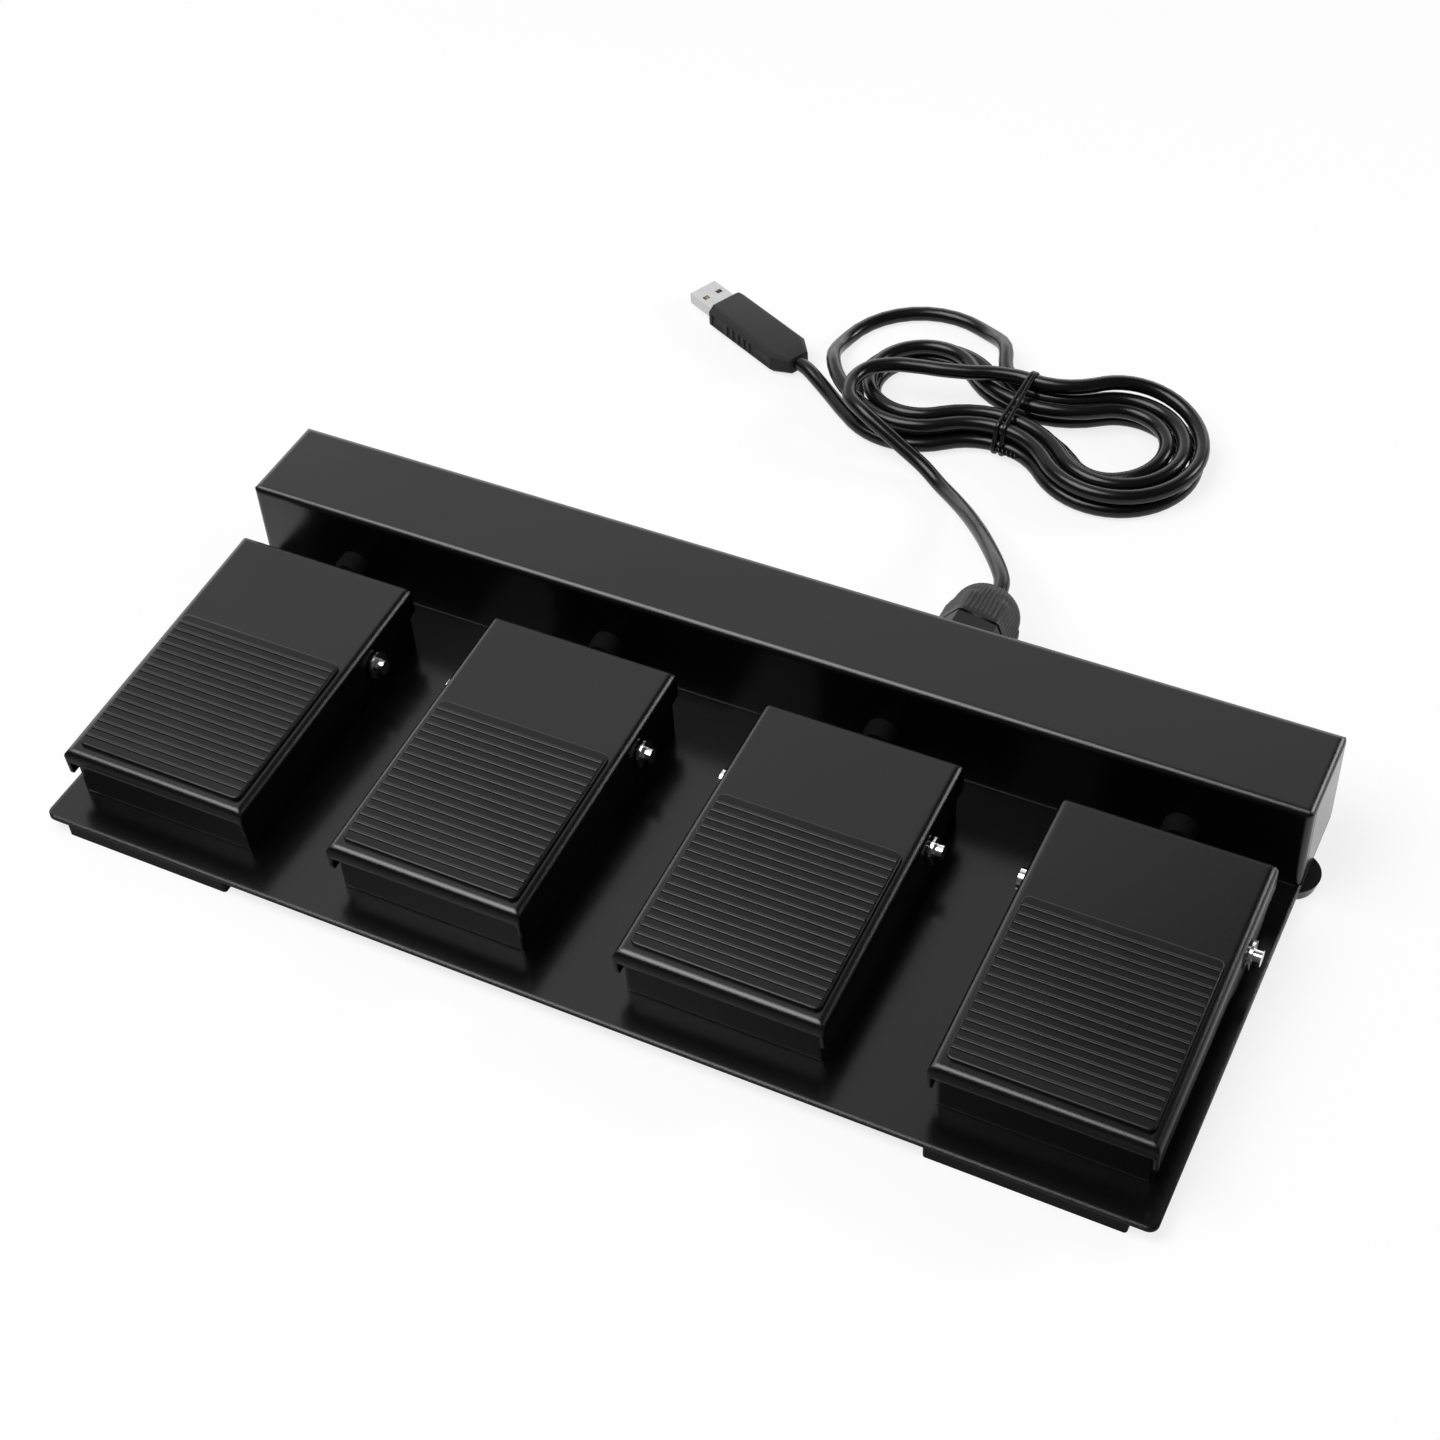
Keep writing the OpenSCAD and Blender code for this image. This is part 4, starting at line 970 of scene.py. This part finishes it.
class PEDALS_OT_springs(bpy.types.Operator):
    """Wind a return spring under each treadle"""

    bl_idname = "pedals.springs"
    bl_label = "Return Springs"

    def execute(self, context):
        wire_r = 0.0006
        coil_r = 0.005
        turns = 6
        steps = 28
        for pedal in PEDALS:
            node = f"return_spring_{pedal}"
            low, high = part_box(node)
            centre = (low + high) / 2.0
            path = coil_path(centre, coil_r, low.z + wire_r, high.z - wire_r, turns, steps)
            spring = add_tube(f"coil_spring_{pedal}", path, wire_r, WIRE_SIDES, "bright_steel", node)
            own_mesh(spring)
        return {"FINISHED"}


class PEDALS_OT_leads(bpy.types.Operator):
    """Run a round lead from each switch to the board, and the cord's end from the gland"""

    bl_idname = "pedals.leads"
    bl_label = "Leads"

    def execute(self, context):
        cord = context.scene.pedal_cord
        sides = 16
        for pedal in PEDALS:
            path = smooth_run(lead_route(pedal), steps=4)
            radius = cord.lead_diameter / 2.0
            add_tube(f"switch_lead_{pedal}", path, radius, sides, "cord_jacket", f"pedal_lead_{pedal}")
        path = smooth_run([Vector(p) for p in INNER_RUN], steps=5)
        add_tube("housed_cord_end", path, cord.diameter / 2.0, sides, "cord_jacket", "cord_inner_lead")
        return {"FINISHED"}


class PEDALS_OT_board(bpy.types.Operator):
    """Finish the control board with its parts, sockets, posts and the gland's inner pieces"""

    bl_idname = "pedals.board"
    bl_label = "Board"

    def execute(self, context):
        dress("board_laminate", "control_board")
        dress("black_plastic", "board_components", "gland_lock_nut")
        dress("white_nylon", "lead_connectors", "cord_connector", "board_posts")
        dress("rubber", "gland_seal")
        return {"FINISHED"}


class PEDALS_OT_gland(bpy.types.Operator):
    """Finish the cable gland and turn its ribbed dome nut"""

    bl_idname = "pedals.gland"
    bl_label = "Cable Gland"

    def execute(self, context):
        dress("black_plastic", "gland_body")
        shape = gland_nut_shape()
        crease = 28.0
        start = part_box("gland_nut")[0].y
        bmesh.ops.translate(shape, verts=shape.verts, vec=(GLAND_MOUTH.x, start, GLAND_MOUTH.z))
        add_piece("ribbed_gland_nut", shape, "black_plastic", "base", ["gland_nut"], crease)
        return {"FINISHED"}


class PEDALS_OT_plug(bpy.types.Operator):
    """Mould the plug's grip and finish its shell, tongue and contacts"""

    bl_idname = "pedals.plug"
    bl_label = "Plug"

    def execute(self, context):
        dress("plug_metal", "plug_shell")
        dress("white_nylon", "plug_tongue")
        dress("contact_gold", "plug_contacts")
        solid = overmould_shape()
        hollows = grip_cutters()
        for shape in (solid, hollows):
            bmesh.ops.transform(shape, matrix=PLUG_FRAME, verts=shape.verts)
        grip = add_piece("plug_grip", solid, "cord_jacket", "base", ["plug_overmould"])
        cutters = add_object("grip_cutters", mesh_of("grip_cutters", hollows))
        recesses = grip.modifiers.new("Recesses", "BOOLEAN")
        recesses.object = cutters
        recesses.operation = "DIFFERENCE"
        recesses.solver = "EXACT"
        edges = grip.modifiers.new("Soft edges", "BEVEL")
        edges.width = 0.00035
        edges.segments = 3
        edges.angle_limit = math.radians(25.0)
        settled(grip, crease=32.0)
        grip.data.materials[0] = finish_of("moulded_grip")
        bpy.data.objects.remove(cutters)
        return {"FINISHED"}


class PEDALS_OT_tie(bpy.types.Operator):
    """Wrap a coated tie twice round the waist of the hank and twist its ends"""

    bl_idname = "pedals.tie"
    bl_label = "Cord Tie"

    def execute(self, context):
        cord = context.scene.pedal_cord
        hank = Hank(cord)
        half_w = 0.0008
        half_t = 0.0004
        slack = 0.0001
        sides = 12
        waist_turns = (0.0, 0.5, 4.0, 4.5)
        wraps = ((-0.0009, 0.05), (0.0009, -0.02))
        strands = [(hank.flat_point(turn)[1], hank.height(turn)) for turn in waist_turns]
        outline = self.outline(strands, cord.diameter / 2.0 + slack + half_t)
        shape = bmesh.new()
        section = [(half_w * a, half_t * b) for a, b in round_section(1.0, sides)]
        for offset, lean in wraps:
            path = [hank.placed(offset + lean * y, y, z) for y, z in outline]
            sweep(shape, path, section, closed=True)
        self.twist(shape, hank, outline)
        add_piece("twisted_tie", shape, "cord_jacket", "base", ["cord_tie"], TUBE_CREASE)
        return {"FINISHED"}

    def outline(self, strands, radius):
        """Points of a band drawn tight round strands, spaced evenly enough for a sweep."""
        sides = 48
        spacing = 0.0015
        cloud = []
        for y, z in strands:
            cloud += [Vector((y + a, z + b)) for a, b in round_section(radius, sides)]
        hull = [cloud[i] for i in convex_hull_2d(cloud)]
        points = []
        for here, there in zip(hull, hull[1:] + hull[:1]):
            pieces = max(1, round((there - here).length / spacing))
            points += [here.lerp(there, i / pieces) for i in range(pieces)]
        return points

    def twist(self, shape, hank, outline):
        """Two ends twisted together, laid along the front strand from the band's front face."""
        front = min(outline, key=lambda p: p.x)
        wire_r = 0.00055
        twist_r = 0.0006
        length = 0.0085
        lean = 0.09
        sink = 0.0004
        rise = 0.0012
        half_turns = 5.0
        steps = 40
        for phase in (0.0, math.pi):
            path = []
            for i in range(steps + 1):
                along = length * i / steps
                a = phase + half_turns * math.pi * i / steps
                y = front.x - sink + twist_r * math.cos(a) - lean * along
                z = front.y + rise + twist_r * math.sin(a)
                path.append(hank.placed(along, y, z))
            sweep(shape, path, round_section(wire_r, WIRE_SIDES))


class PEDALS_OT_cord(bpy.types.Operator):
    """Lay the USB cord from the gland through its tied hank to the plug"""

    bl_idname = "pedals.cord"
    bl_label = "USB Cord"

    def execute(self, context):
        cord = context.scene.pedal_cord
        curve = bpy.data.curves.new("usb_lead", "CURVE")
        curve.dimensions = "3D"
        curve.bevel_depth = cord.diameter / 2.0
        curve.bevel_resolution = 5
        curve.use_fill_caps = True
        route = cord_route(cord)
        spline = curve.splines.new("POLY")
        spline.points.add(len(route) - 1)
        for point, place in zip(spline.points, route):
            point.co = (*place, 1.0)
        curve.materials.append(finish_of("cord_jacket"))
        lead = add_object("usb_lead", curve)
        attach(lead, "base")
        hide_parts("usb_cord", "usb_cord_hank", "usb_cord_tail")
        return {"FINISHED"}


class PEDALS_OT_stage(bpy.types.Operator):
    """Set up the floor, the soft light and the camera"""

    bl_idname = "pedals.stage"
    bl_label = "Stage"

    def execute(self, context):
        scene = context.scene
        stage = scene.pedal_stage
        scene.view_settings.view_transform = "Standard"
        self.add_floor(stage)
        self.add_world(scene, stage)
        self.add_softbox("key_softbox", KEY_WAY, KEY_DISTANCE, KEY_SIZE, stage.key)
        self.add_softbox("rim_softbox", RIM_WAY, RIM_DISTANCE, RIM_SIZE, stage.rim)
        scene.camera = self.add_camera(stage)
        return {"FINISHED"}

    def add_floor(self, stage):
        """A white floor that keeps the object's shadow, and that gloss hardly mirrors in front."""
        shape = bmesh.new()
        bmesh.ops.create_circle(shape, cap_ends=True, radius=FLOOR_RADIUS, segments=96)
        mesh = mesh_of("studio_floor", shape)
        finish = Finish("studio_floor", Specular_IOR_Level=0.0, Emission_Strength=1.0)
        cloud = finish.noise(3.0, 2.0)
        away = finish.node("ShaderNodeVectorMath", {"operation": "LENGTH"}, {0: finish.place}, "Value")
        far = finish.fading(away, FLOOR_WHITE)
        near = (1.0 - stage.glow,) * 3
        paper = finish.mix(far, finish.shades(cloud, near, 0.99, 1.0), BLACK)
        seen, mirrored, passed = finish.ray_kinds()
        behind = finish.fading(finish.parts(finish.place)[1], FLOOR_FRONT)
        dimmed = stage.dimming + (1.0 - stage.dimming) * behind
        share = finish.clamped(seen + (mirrored + passed) * dimmed)
        glow = finish.mix(share, BLACK, finish.mix(far, (stage.glow,) * 3, WHITE))
        finish.feed(finish.shader.inputs["Emission Color"], glow)
        mesh.materials.append(finish.paint(paper, 0.9))
        add_object("studio_floor", mesh)

    def add_world(self, scene, stage):
        """A white backdrop behind the object, a dark room in front, and even light on matt surfaces."""
        world = bpy.data.worlds.new("studio_surroundings")
        world.use_nodes = True
        scene.world = world
        shading = Shading(world.node_tree)
        background = world.node_tree.nodes["Background"]
        background.inputs["Color"].default_value = opaque(WHITE)
        direction = shading.node("ShaderNodeTexCoord", output="Generated")
        x, y, z = shading.parts(direction)
        rear = shading.fading(y, BACKDROP_REAR)
        slanted = shading.fading(x + BACKDROP_SLANT * z, BACKDROP_SLANTED_EDGE)
        left = (1.0 - slanted) * (1.0 - shading.fading(x, BACKDROP_SIDE))
        low = shading.fading(z, BAND_FOOT) * (1.0 - shading.fading(z, BAND_HEAD))
        backdrop = stage.room + (1.0 - stage.room) * rear * left * (1.0 + stage.band * low)
        ways = {0: direction, 1: KEY_WAY}
        overhead = shading.node("ShaderNodeVectorMath", {"operation": "DOT_PRODUCT"}, ways, "Value")
        backdrop = backdrop + stage.crown * shading.fading(overhead, CROWN_EDGE)
        seen, mirrored, passed = shading.ray_kinds()
        lit = (1.0 - shading.clamped(seen + mirrored + passed)) * stage.fill
        shown = seen + (mirrored + passed) * backdrop * (1.0 - seen)
        shading.feed(background.inputs["Strength"], lit + shown)

    def add_softbox(self, name, direction, distance, size, power):
        """A square light that faces the middle of the object."""
        light = bpy.data.lights.new(name, "AREA")
        light.shape = "SQUARE"
        light.size = size
        light.energy = power
        lamp = add_object(name, light)
        turned = direction.to_track_quat("Z", "Y").to_matrix().to_4x4()
        lamp.matrix_world = Matrix.Translation(direction * distance) @ turned

    def add_camera(self, stage):
        """A camera at the photograph's angle, turned a little about its line of sight."""
        lens = bpy.data.cameras.new("photo_camera")
        lens.lens = stage.lens
        lens.sensor_width = 36.0
        lens.clip_start = 0.01
        camera = add_object("photo_camera", lens)
        tipped = Matrix.Rotation(math.pi / 2.0 - stage.elevation, 4, "X")
        turned = Matrix.Rotation(stage.azimuth, 4, "Z") @ tipped @ Matrix.Rotation(stage.roll, 4, "Z")
        back = Matrix.Translation((0.0, 0.0, stage.distance))
        camera.matrix_world = Matrix.Translation(stage.target) @ turned @ back
        return camera


OPERATORS = (
    PEDALS_OT_sheet_metal,
    PEDALS_OT_tread_pads,
    PEDALS_OT_feet,
    PEDALS_OT_fasteners,
    PEDALS_OT_switches,
    PEDALS_OT_springs,
    PEDALS_OT_leads,
    PEDALS_OT_board,
    PEDALS_OT_gland,
    PEDALS_OT_plug,
    PEDALS_OT_tie,
    PEDALS_OT_cord,
    PEDALS_OT_stage,
)
SETTINGS = {
    "pedal_finishes": FinishSettings,
    "pedal_pads": PadSettings,
    "pedal_cord": CordSettings,
    "pedal_stage": StageSettings,
}


class PEDALS_PT_unit(bpy.types.Panel):
    """Steps that dress the foot pedal unit"""

    bl_idname = "PEDALS_PT_unit"
    bl_label = "Foot Pedal Unit"
    bl_space_type = "VIEW_3D"
    bl_region_type = "UI"
    bl_category = "Foot Pedals"

    def draw(self, context):
        for operator in OPERATORS:
            self.layout.operator(operator.bl_idname)
        for group in SETTINGS:
            box = self.layout.box()
            settings = getattr(context.scene, group)
            for name in settings.bl_rna.properties.keys():
                if name not in {"rna_type", "name"}:
                    box.prop(settings, name)


CLASSES = (*SETTINGS.values(), *OPERATORS, PEDALS_PT_unit)


def register():
    for made in CLASSES:
        bpy.utils.register_class(made)
    for name, group in SETTINGS.items():
        setattr(bpy.types.Scene, name, PointerProperty(type=group))


def unregister():
    for name in SETTINGS:
        delattr(bpy.types.Scene, name)
    for made in reversed(CLASSES):
        bpy.utils.unregister_class(made)


def main():
    register()
    for operator in OPERATORS:
        group, name = operator.bl_idname.split(".")
        getattr(getattr(bpy.ops, group), name)()


if __name__ == "__main__":
    main()
